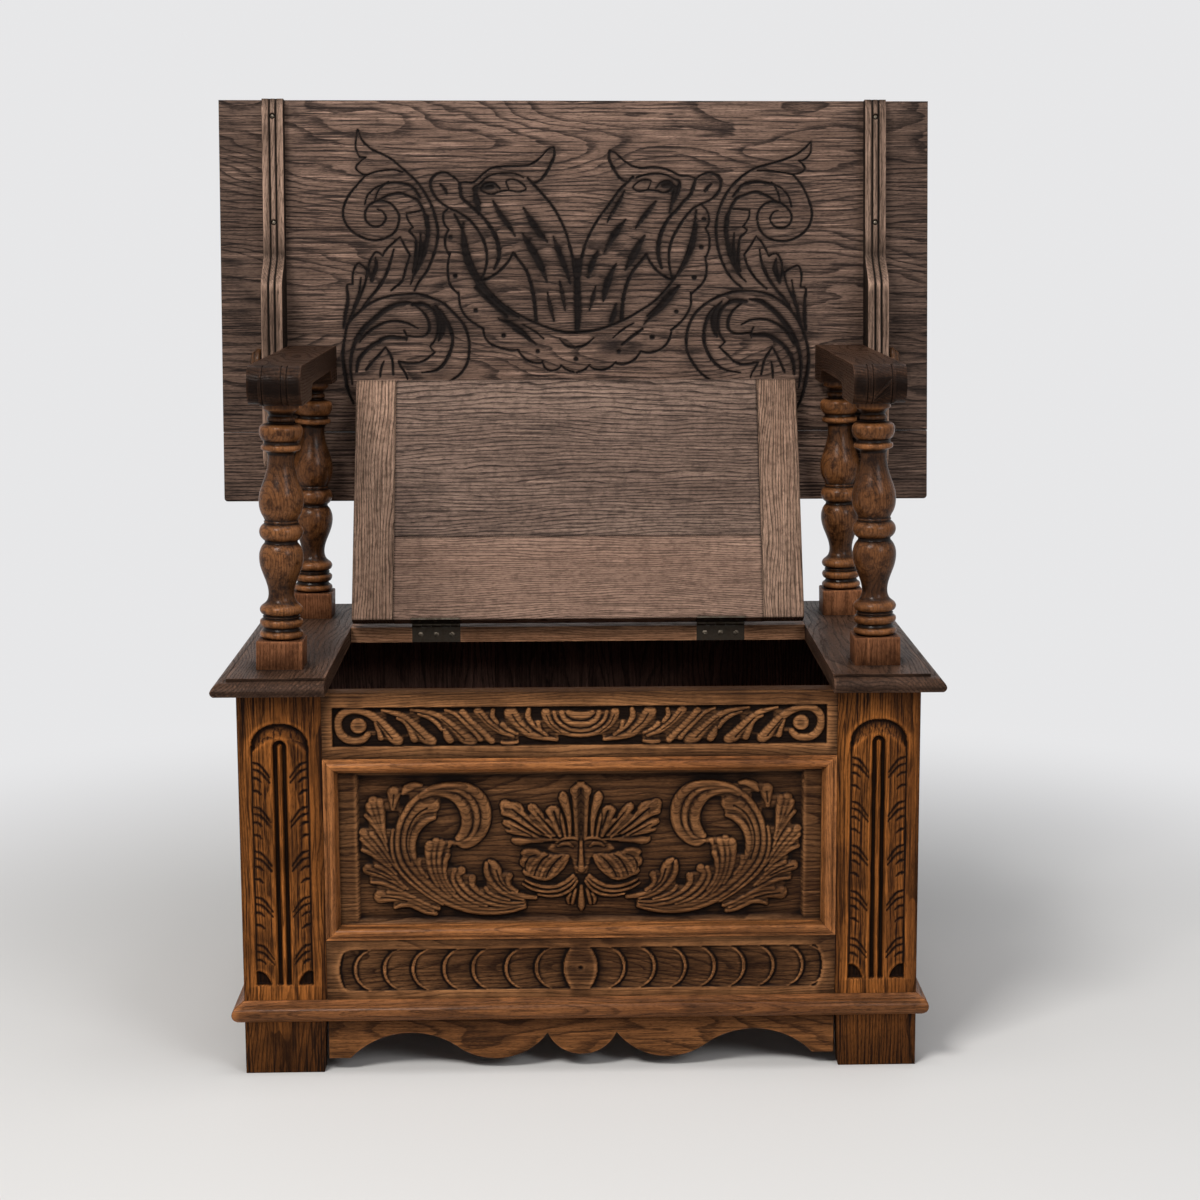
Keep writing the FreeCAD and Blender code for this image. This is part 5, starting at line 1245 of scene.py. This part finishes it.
# The left half is carved a little differently: places on the right, and where their fellows are on the left
left_fellows = (
    (41, 242, 26, 246.5), (50, 216, 36, 217), (59.5, 207, 48, 203), (76, 222.4, 62, 225.8),
    (99, 222.4, 97, 223), (120.4, 213.7, 118, 204.5), (130.3, 213, 126, 203.5), (138.5, 210, 131, 207),
    (153.3, 217, 150, 219), (166.5, 205, 167, 205), (155, 186, 157, 184), (141.8, 180.2, 146, 174),
    (125.3, 165.5, 121, 162), (117, 152.5, 112, 151), (107.2, 128, 103, 125), (112.2, 94.4, 110, 93.5),
    (132, 191.7, 131, 190), (107, 165.5, 105, 164), (94, 131, 88, 128), (81, 123, 71, 127),
    (49.7, 196.6, 41, 195), (38, 180.2, 27, 180), (26.6, 165.5, 19, 165), (10.2, 132.8, 7.5, 132.8),
    (3, 100, 1, 100), (64.5, 103.4, 57, 105), (53.8, 72.4, 48, 72), (52, 50, 46, 47), (75, 200, 69, 200),
    (100, 200, 95, 199), (133.6, 144.3, 126, 144), (122, 111.6, 118, 111), (100.7, 80.6, 98, 80),
    (72.7, 59.3, 72, 58), (149, 120, 145, 126), (132.4, 79, 137, 80), (109, 37.5, 107, 40),
    (92, 12.6, 90, 18), (73, 13, 66, 14.5), (52.7, -2.3, 45, -0.5), (26.5, 0.8, 30, -1),
    (6.5, -10, 10, -9.5), (271.7, 253, 248, 267), (264.3, 222, 253, 222.5), (257, 231, 240, 232),
    (250.3, 215.4, 243, 212), (272.5, 170.4, 267, 172), (240.5, 138.6, 233, 140), (209.2, 162.3, 202, 166),
    (230.6, 183.5, 226, 185), (248.7, 168.8, 241, 172), (252, 236.6, 228, 247), (232.2, 229.2, 212, 235.5),
    (215.8, 225.2, 201, 224), (201, 219.4, 193, 216), (187.8, 209.6, 183, 207), (168, 181.9, 165, 181),
    (161.5, 150.8, 158.5, 150), (166.5, 119.8, 165, 119), (181.3, 93.6, 182, 93), (207.6, 144.3, 201, 143),
    (222.4, 121.4, 223, 121), (232.2, 123.9, 231, 126.5), (236.3, 101.8, 238, 106), (256.9, 110, 250, 113),
    (265.1, 83.8, 263, 88), (200.2, 173.7, 194, 168), (204.3, 81.4, 192, 77.5), (171.4, 78.1, 165, 73),
    (140, 59.3, 141, 56), (126, 25.5, 123, 20), (142.6, -11.8, 133, -12), (146.9, 32.7, 142, 28),
    (188.8, -11.8, 170, -12), (171.5, 22.7, 168, 17.5), (165.7, 17, 166, 11), (190.3, -2.4, 190, 2),
    (209.8, -0.3, 204, 3), (201, -17.5, 195, -20), (175, 39.9, 170, 38), (188.8, 32.7, 182, 30.5),
    (204.7, 39.9, 199, 36), (190.3, 42.8, 180, 38), (212, 49.2, 206, 48.5), (235, 41.3, 230, 41),
    (226.4, 17, 218.5, 18), (213.4, -14.6, 214, -14), (240.8, -11.8, 243, -7), (260.2, 39.7, 263, 45),
    (268.3, 11.2, 268.5, 15), (253.8, -54.8, 257, -46),
)
fellow_reach = 14.0
table_grid = (-279, 279, -62, 272, 0.9)
table_cut_depth = 1.5
table_cut_gain = 1.4
# Gouges are darkened by stain and painted shade
table_gouge_stain_and_shade = 0.95
table_shadow_depth = 0.4
table_shadow_gain = 2.8
table_shadow_stain = 0.2
table_dot_radius = 3.8
table_dot_depth = 1.6


def left_half(points):
    """Carries a line of the right half over to the left one."""
    fellows = np.array(left_fellows, dtype=float)
    moved = []
    for x, z, half in points:
        distance = np.hypot(fellows[:, 0] - x, fellows[:, 1] - z)
        weights = 1 / (distance ** 2 + fellow_reach ** 2) ** 2
        shift = (weights[:, None] * (fellows[:, 2:] - fellows[:, :2])).sum(axis=0) / weights.sum()
        moved.append((-x - shift[0], z + shift[1], half))
    return moved


def table_relief():
    relief = Relief(*table_grid)
    for points in table_lines + scroll_lines:
        for half in (points, left_half(points)):
            relief.cut(half, table_cut_depth, 1.0, table_cut_gain)
    for points in table_gouges:
        relief.cut(points, table_cut_depth, table_gouge_stain_and_shade, table_cut_gain)
        relief.cut(points, table_shadow_depth, table_shadow_stain, table_shadow_gain)
    for x, z in table_dots:
        relief.cut(((x, z, table_dot_radius), (x + 0.2, z, table_dot_radius)), table_dot_depth, 1.0)
    return relief.finish(0.0, smooth=False, haze=1.0)


def make_carvings():
    rails = (-stile_inner, stile_inner)
    panel_span = (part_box("front_bottom_rail")[1].z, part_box("front_top_rail")[0].z)
    carved_board(
        "carved_panel", "front_panel", "chest", "carved_x", panel_relief(), rails, panel_span,
        level=METRE / 2 * sum(panel_span))
    carved_board(
        "carved_frieze", "front_top_rail", "chest", "carved_x", frieze_relief(), rails,
        level=METRE * centre_of("front_top_rail", 2) - frieze_drop, edge=0.5)
    carved_board(
        "carved_lunettes", "front_bottom_rail", "chest", "carved_x", lunette_relief(), rails,
        level=METRE * centre_of("front_bottom_rail", 2) + lunette_rise, edge=0.5, ledge=plinth_top)
    centre = METRE * centre_of("front_stile_right", 0) + stile_offset
    for side, sign in sides:
        relief = stile_relief()
        relief.x = relief.x + sign * centre
        carved_board(
            "carved_stile_" + side, "front_stile_" + side, "chest", "carved_z", relief,
            foot=stile_foot(sign), ledge=plinth_top)
    relief = table_relief()
    for node_name in ("table_board_1", "table_board_2", "table_board_3"):
        carved_board(
            "carved_" + node_name, node_name, "table", "table", relief, up=table_up,
            level=pivot_level, rim_joint_and_shade=0.4)


# Battens: slim above and deep below an ogee, with two grooves along them, in mm from the pivot

batten_step = 0.6
batten_slim = 16.0
batten_deep = 46.0
batten_ogee = (84.0, 124.0)
batten_end_radius = 16.0
batten_grooves = (8.6, 15.7)
batten_groove_half = 1.5
batten_groove_depth = 1.8
batten_underside = 19.5
batten_screws = (159.0, 279.0)
batten_screw_hollow = 3.8
batten_screw_depth = 3.0
batten_top_fall = 3.0
batten_top_length = 13.0
# Painted shade on the sides, dirt and painted shade in the grooves and screw holes, painted shade on the
# ogee's slope and the top, and wear and painted highlight on the edges and the crest below the ogee
batten_side_shade = 0.9
batten_groove_dirt_and_shade = 1.3
batten_slope_shade = 0.7
batten_edge_wear_and_highlight = 3.0
batten_crest_wear_and_highlight = 8.0
batten_shaded_slope = 26.0
slot_travel = 100.0
slot_radius = 7.6
slot_cutter_span = (0.300, 0.400)


def batten_relief(width, low, high):
    relief = Relief(0, width, low, high, batten_step)
    x = relief.x[None, :]
    z = relief.z[:, None]
    ogee_low, ogee_high = batten_ogee
    share = np.clip((ogee_high - z) / (ogee_high - ogee_low), 0, 1)
    face = batten_slim + (batten_deep - batten_slim) * share ** 2 * (3 - 2 * share)
    turn = np.clip(low + batten_end_radius - z, 0, batten_end_radius)
    face = face - batten_end_radius + np.sqrt(batten_end_radius ** 2 - turn ** 2)
    top = np.clip((z - high + batten_top_length) / batten_top_length, 0, 1)
    face = face - batten_top_fall * top ** 1.5
    groove = np.zeros_like(relief.raised)
    for place in batten_grooves:
        groove = np.maximum(groove, np.sqrt(np.clip(1 - np.abs(x - place) / batten_groove_half, 0, 1)))
    hole = np.zeros_like(relief.raised)
    for height in batten_screws:
        distance = np.hypot(x - width / 2, z - height) / batten_screw_hollow
        hole = np.maximum(hole, np.clip(3 * (1 - distance), 0, 1))
    sunk = np.maximum(groove, hole)
    relief.depth = batten_deep - face + np.maximum(batten_groove_depth * groove, batten_screw_depth * hole)
    # Painted shade on the ogee's slope and the falling top, and dirt and painted shade in the grooves and
    # screw holes
    slope = np.clip(1 - np.abs(z - ogee_high) / batten_shaded_slope, 0, 1)
    dirtied_and_shaded = np.maximum(batten_groove_dirt_and_shade * sunk, batten_slope_shade * np.maximum(slope, top))
    relief.hollow = np.clip(dirtied_and_shaded, 0, 1)
    # Wear and painted highlight on the face's edges and on the crest below the ogee
    edge = np.clip(1 - np.minimum(x, width - x) / batten_edge_wear_and_highlight, 0, 1)
    crest = np.clip(1 - np.abs(z - ogee_low - 2.0) / batten_crest_wear_and_highlight, 0, 1)
    relief.ridge = np.clip(0.8 * edge + crest, 0, 1) * (sunk < 0.3)
    # Painted shade on the batten's sides
    relief.side = batten_side_shade
    relief.hollow[:, [0, -1]] = batten_side_shade
    relief.ridge[:, [0, -1]] = 0
    return relief


def slot_cutter(sign):
    """A rounded bar through a batten, where its slot for the pivot peg goes."""
    angles = np.linspace(math.pi / 2, 3 * math.pi / 2, 15)
    low_end = [(slot_radius * math.cos(a) - slot_travel, slot_radius * math.sin(a)) for a in angles]
    high_end = [(-slot_radius * math.cos(a), -slot_radius * math.sin(a)) for a in angles]
    form = bmesh.new()
    near, far = (
        [form.verts.new(sign * reach * sideways + pivot_place + MM * (up * table_up + away * table_out))
         for up, away in low_end + high_end] for reach in slot_cutter_span)
    form.faces.new(near)
    form.faces.new(far[::-1])
    for index in range(len(near)):
        after = (index + 1) % len(near)
        form.faces.new((near[after], near[index], far[index], far[after]))
    bmesh.ops.recalc_face_normals(form, faces=form.faces[:])
    mesh = bpy.data.meshes.new("slot_cutter")
    form.to_mesh(mesh)
    form.free()
    return add_object("slot_cutter", mesh)


def make_battens():
    for side, sign in sides:
        node_name = "batten_" + side
        corners = node_corners(node_name)
        reach = METRE * (corners @ np.array(table_up)) - pivot_level
        left = METRE * corners[:, 0].min()
        relief = batten_relief(METRE * corners[:, 0].max() - left, reach.min(), reach.max())
        relief.x = relief.x + left
        piece = carved_board(
            "grooved_" + node_name, node_name, "table", "battens", relief, up=table_up,
            level=pivot_level, edge=1.2, rim_joint_and_shade=0.0)
        cutter = slot_cutter(sign)
        cut = piece.modifiers.new("slot", "BOOLEAN")
        cut.operation = "DIFFERENCE"
        cut.solver = "EXACT"
        cut.object = cutter
        bpy.context.view_layer.update()
        mesh = bpy.data.meshes.new_from_object(piece.evaluated_get(bpy.context.evaluated_depsgraph_get()))
        piece.modifiers.clear()
        piece.data = mesh
        bpy.data.objects.remove(cutter)


# Slotted screw heads

screw_grid = 37
screw_slot_half = 0.42
screw_slot_depth = 0.9
screw_slot_wall = 0.15
screw_foot = 1.4
batten_screw_radius = 2.1
batten_screw_rise = 0.8
batten_screw_inset = 2.2
hinge_screw_radius = 2.9
hinge_screw_rise = 0.6
hinge_screw_count = 3
# How far the slots are turned: the first one's angle, and each further one's, in radians
batten_screw_turn = (0.6, 1.1)
hinge_screw_turn = (0.4, 0.9)
# The frame's hinge screws have a smaller head
frame_screw_radius = 2.0


def screw_head(name, place, out, radius, rise, turn, body, node_name):
    """A low dome with a slot across it."""
    steps = np.linspace(-1, 1, screw_grid)
    u, v = np.meshgrid(steps, steps)
    x = u * np.sqrt(1 - v * v / 2)
    y = v * np.sqrt(1 - u * u / 2)
    slot = np.clip((screw_slot_half - np.abs(y) * radius) / screw_slot_wall, 0, 1)
    height = rise * (1 - x * x - y * y) - screw_slot_depth * slot
    points = np.stack([radius * x, radius * y, height], axis=-1).reshape(-1, 3)
    quads, ring, cap = grid_faces(screw_grid, screw_grid)
    foot = points[ring] * np.array([1, 1, 0]) - np.array([0, 0, screw_foot])
    piece = mesh_object(name, np.vstack([points, foot]) * MM, quads, [cap], materials["screws"])
    aim = out.to_track_quat("Z", "Y").to_matrix().to_4x4()
    piece.matrix_world = Matrix.Translation(place) @ aim @ Matrix.Rotation(turn, 4, "Z")
    seat_piece(piece, body, node_name)


def make_screws():
    face = batten_slim - batten_underside - batten_screw_inset
    hinge_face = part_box("hinge_screws_seat")[0].y
    corners = frame["nodes"]["hinge_screws_seat"].data.vertices
    for side, sign in sides:
        for number, height in enumerate(batten_screws):
            place = pivot_place + MM * (height * table_up + face * table_out)
            place += centre_of("batten_" + side, 0) * sideways
            screw_head(
                "screw_batten_%s_%d" % (side, number), place, table_out, batten_screw_radius,
                batten_screw_rise, batten_screw_turn[0] + batten_screw_turn[1] * number + sign, "table",
                "batten_screws")
        low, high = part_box("hinge_leaf_seat_" + side)
        places = sorted({round(corner.co.x, 3) for corner in corners if low.x < corner.co.x < high.x})
        first = places[0] + frame_screw_radius * MM
        spacing = (places[-1] - places[0] - 2 * frame_screw_radius * MM) / (hinge_screw_count - 1)
        for number in range(hinge_screw_count):
            place = Vector((first + spacing * number, hinge_face, centre_of("hinge_screws_seat", 2)))
            screw_head(
                "screw_hinge_%s_%d" % (side, number), place, forwards, hinge_screw_radius, hinge_screw_rise,
                hinge_screw_turn[0] + hinge_screw_turn[1] * number, "chest", "hinge_screws_seat")


# Turned pieces

# Each run of (height above the block, radius) is smooth, and runs meet at an edge
post_runs = (
    ((0, 17.6), (0.8, 18.6)),
    ((0.8, 18.6), (2.2, 21.4), (4.6, 22.2), (7, 21.4), (8.8, 18.8)),
    ((8.8, 18.8), (11.4, 17.6)),
    ((11.4, 17.6), (13.2, 20.6), (17, 21.9), (19.6, 20.9), (21.2, 18)),
    ((21.2, 18), (22.8, 19), (24.4, 17.6)),
    ((24.4, 17.6), (26.6, 20.8), (30.2, 22), (33.4, 20.6), (35.6, 18)),
    ((35.6, 18), (38, 15.4), (42, 13.6), (47, 13.1), (53, 13.9), (59, 15.7), (65, 18), (70.5, 20.1),
     (76, 21.6), (82, 22.4), (87.4, 22.2), (92, 21), (95.6, 19.2), (98.4, 16.8)),
    ((98.4, 16.8), (100.6, 16.6)),
    ((100.6, 16.6), (102.4, 18.8), (105.4, 21.2), (109.8, 22.3), (113.8, 21.4), (116.8, 19.2),
     (118.6, 16.8)),
    ((118.6, 16.8), (120.2, 17.6), (121.6, 16.6)),
    ((121.6, 16.6), (124.6, 18), (128.6, 20.2), (133.6, 21.9), (140, 22.6), (146.6, 22.3), (152.6, 21),
     (159, 18.9), (165, 16.8), (171, 15), (178, 13.6), (184, 13.1), (188.6, 13.4)),
    ((188.6, 13.4), (190.8, 14.6), (192.2, 17)),
    ((192.2, 17), (193.4, 19.4), (195.4, 20.2), (197.6, 19.6), (199, 17.4)),
    ((199, 17.4), (201.4, 17)),
    ((201.4, 17), (204, 19.6), (208.4, 21.6), (213, 22), (216.4, 21.2), (218.6, 18.8), (219.6, 15.2)),
    ((219.6, 15.2), (220.8, 12.2)),
    ((220.8, 12.2), (222.2, 13.4), (224.2, 13.9), (226.2, 13.2), (227.4, 11.8)),
    ((227.4, 11.8), (229.2, 12.4), (231.4, 14.2), (233.4, 16.8), (234.6, 18)),
    ((234.6, 18), (242, 18)),
)
post_block = 47.0
post_block_height = 29.0
post_block_edge = 1.6
post_rake = math.radians(1.2)
post_sink = 1.2
sharp_angle = math.radians(35)
# The pivot pegs' knobs, as (distance from the batten's face, radius)
knob_runs = (
    ((-3, 7.4), (0.3, 7.4)),
    ((0.3, 7.4), (0.3, 12.4)),
    ((0.3, 12.4), (1.3, 12.9), (2.4, 12)),
    ((2.4, 12), (3, 14.6), (4.6, 15.8), (6.4, 15.9), (8.2, 15.4), (9.2, 13.8)),
    ((9.2, 13.8), (10, 13.2)),
    ((10, 13.2), (12, 12.2), (13.8, 10.2), (15, 7), (15.6, 3.4), (15.8, 0.4)),
)
# Turnings are darkened, as dirt and painted shade, in their hollows and in necks narrower than a share of the
# widest radius, and lightened on their crests by wear and painted highlight
turned_step = 0.5
turned_blur = 6
turned_hollow = 0.9
turned_ridge = 1.1
turned_darkest = 0.92
neck_share = 0.9
neck_range = 0.35
neck_shade = 0.6


def turned_form(runs, spacing=0.7, count=72):
    """A closed form turned about the first axis: points, quads, caps and shades."""
    paths = [smooth_path(run, spacing)[:-1] for run in runs]
    outline = np.vstack(paths + [np.array([runs[-1][-1]], dtype=float)])
    height, radius = outline.T
    even = np.linspace(height[0], height[-1], int((height[-1] - height[0]) / turned_step) + 2)
    even_radius = np.interp(even, height, radius)
    fine = np.interp(height, even, even_radius - blurred(even_radius, turned_blur))
    neck = neck_shade * np.clip((neck_share - radius / even_radius.max()) / neck_range, 0, 1)
    hollow = np.clip(np.maximum(-fine / turned_hollow, neck), 0, turned_darkest)
    ridge = np.clip(fine / turned_ridge, 0, 1)

    around = np.tile(np.linspace(0, 2 * math.pi, count, endpoint=False), len(outline))
    radii = np.repeat(radius, count)
    points = np.stack([np.repeat(height, count), radii * np.cos(around), radii * np.sin(around)], axis=-1)
    index = np.arange(len(outline) * count).reshape(-1, count)
    after = np.roll(index, -1, axis=1)
    quads = np.stack([index[:-1], after[:-1], after[1:], index[1:]], axis=-1).reshape(-1, 4)
    shades = {"hollow": np.repeat(hollow, count), "ridge": np.repeat(ridge, count)}
    return points, quads, [index[0][::-1], index[-1]], shades


def block_mesh():
    """A post's square block: a closed box with rounded edges, about the middle of its foot."""
    half = post_block / 2
    low = (-half * MM, -half * MM, -post_sink * MM)
    high = (half * MM, half * MM, post_block_height * MM)
    form = bmesh.new()
    bmesh.ops.create_cube(form, size=1.0)
    for vertex in form.verts:
        vertex.co = Vector(
            low[axis] + (vertex.co[axis] + 0.5) * (high[axis] - low[axis]) for axis in range(3))
    bmesh.ops.bevel(
        form, geom=form.edges[:], offset=post_block_edge * MM, segments=3, profile=0.5, affect="EDGES")
    mesh = bpy.data.meshes.new("block")
    form.to_mesh(mesh)
    form.free()
    mesh.materials.append(materials["blocks"])
    for polygon in mesh.polygons:
        polygon.use_smooth = True
    mesh.set_sharp_from_angle(angle=sharp_angle)
    return mesh


def make_posts():
    points, quads, caps, shades = turned_form(post_runs)
    for side, sign in sides:
        for row in ("front", "rear"):
            node_name = "%s_post_%s" % (row, side)
            outer = sign * max(sign * corner.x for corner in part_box(node_name))
            foot = Vector((outer - sign * post_block / 2 * MM, centre_of(node_name, 1), seat_top))
            stand = Matrix.Translation(foot) @ Matrix.Rotation(-sign * post_rake, 4, "Y")
            post = mesh_object(
                "turned_" + node_name, points[:, [1, 2, 0]] * MM, quads, caps, materials["posts"], shades)
            post.matrix_world = stand @ Matrix.Translation((0, 0, post_block_height * MM))
            seat_piece(post, "chest", node_name)
            block = add_object("block_" + node_name, block_mesh())
            block.matrix_world = stand
            seat_piece(block, "chest", node_name)


def make_knobs():
    points, quads, caps, shades = turned_form(knob_runs, 0.5, 56)
    for side, sign in sides:
        face = sign * max(sign * corner.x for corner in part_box("batten_" + side))
        piece = mesh_object("knob_" + side, points * MM, quads, caps, materials["knobs"], shades)
        turn = Matrix.Identity(4) if sign > 0 else Matrix.Rotation(math.pi, 4, "Z")
        piece.matrix_world = Matrix.Translation((face, pivot_place.y, pivot_place.z)) @ turn
        seat_piece(piece, "pivot", "pivot_peg_" + side)


# Finishes of the nodes that keep their own shape, by how their names start

finishes = {
    "chest_x": ("front_top_rail", "front_bottom_rail", "front_panel", "front_apron", "back_top_rail",
                "back_bottom_rail"),
    "chest_y": ("side_top_rail", "side_bottom_rail", "side_panel"),
    "chest_z": ("front_stile", "side_stile", "rear_leg"),
    "back_x": ("seat_back_board",),
    "moulding_x": ("panel_moulding_top", "panel_moulding_bottom"),
    "moulding_z": ("panel_moulding_left", "panel_moulding_right"),
    "plinth_x": ("plinth_front",),
    "plinth_y": ("plinth_left", "plinth_right"),
    "inside": ("floor_",),
    "inside_z": ("back_board",),
    "seat_y": ("seat_end",),
    "lid_upper": ("lid_board_upper",),
    "lid_lower": ("lid_board_lower",),
    "lid_cleats": ("lid_cleat",),
    "hinges": ("hinge_leaf", "hinge_pins"),
    "screws": ("hinge_screws", "batten_screws"),
    "posts": ("front_post", "rear_post"),
    "arms": ("arm_",),
    "table": ("table_board",),
    "battens": ("batten_left", "batten_right"),
    "knobs": ("pivot_peg",),
}
plain_edge = 0.0010
edge_radii = {
    "seat": 0.0012, "lid": 0.0012, "table": 0.0014, "arm": 0.0015, "hinge": 0.0003, "batten_screws": 0.0,
    "pivot": 0.0006}


def soften(node, radius):
    """Rounds a node's edges without changing its own mesh."""
    weld = node.modifiers.new("weld", "WELD")
    weld.merge_threshold = 0.00001
    flat = node.modifiers.new("flat", "DECIMATE")
    flat.decimate_type = "DISSOLVE"
    flat.angle_limit = math.radians(1.0)
    if radius > 0:
        bevel = node.modifiers.new("bevel", "BEVEL")
        bevel.width = radius
        bevel.segments = 3
        bevel.limit_method = "ANGLE"
        bevel.angle_limit = math.radians(28)
        bevel.harden_normals = True
        bevel.use_clamp_overlap = True


def finish_nodes():
    for name, node in frame["nodes"].items():
        for finish, starts in finishes.items():
            if name.startswith(starts):
                node.data.materials.clear()
                node.data.materials.append(materials[finish])
        own_edge = [radius for start, radius in edge_radii.items() if name.startswith(start)]
        soften(node, (own_edge or [plain_edge])[0])


make_camera()
make_stage()
make_lights()
finish_nodes()
make_carvings()
make_posts()
make_knobs()
make_battens()
make_screws()

bpy.context.scene.view_settings.view_transform = "Standard"
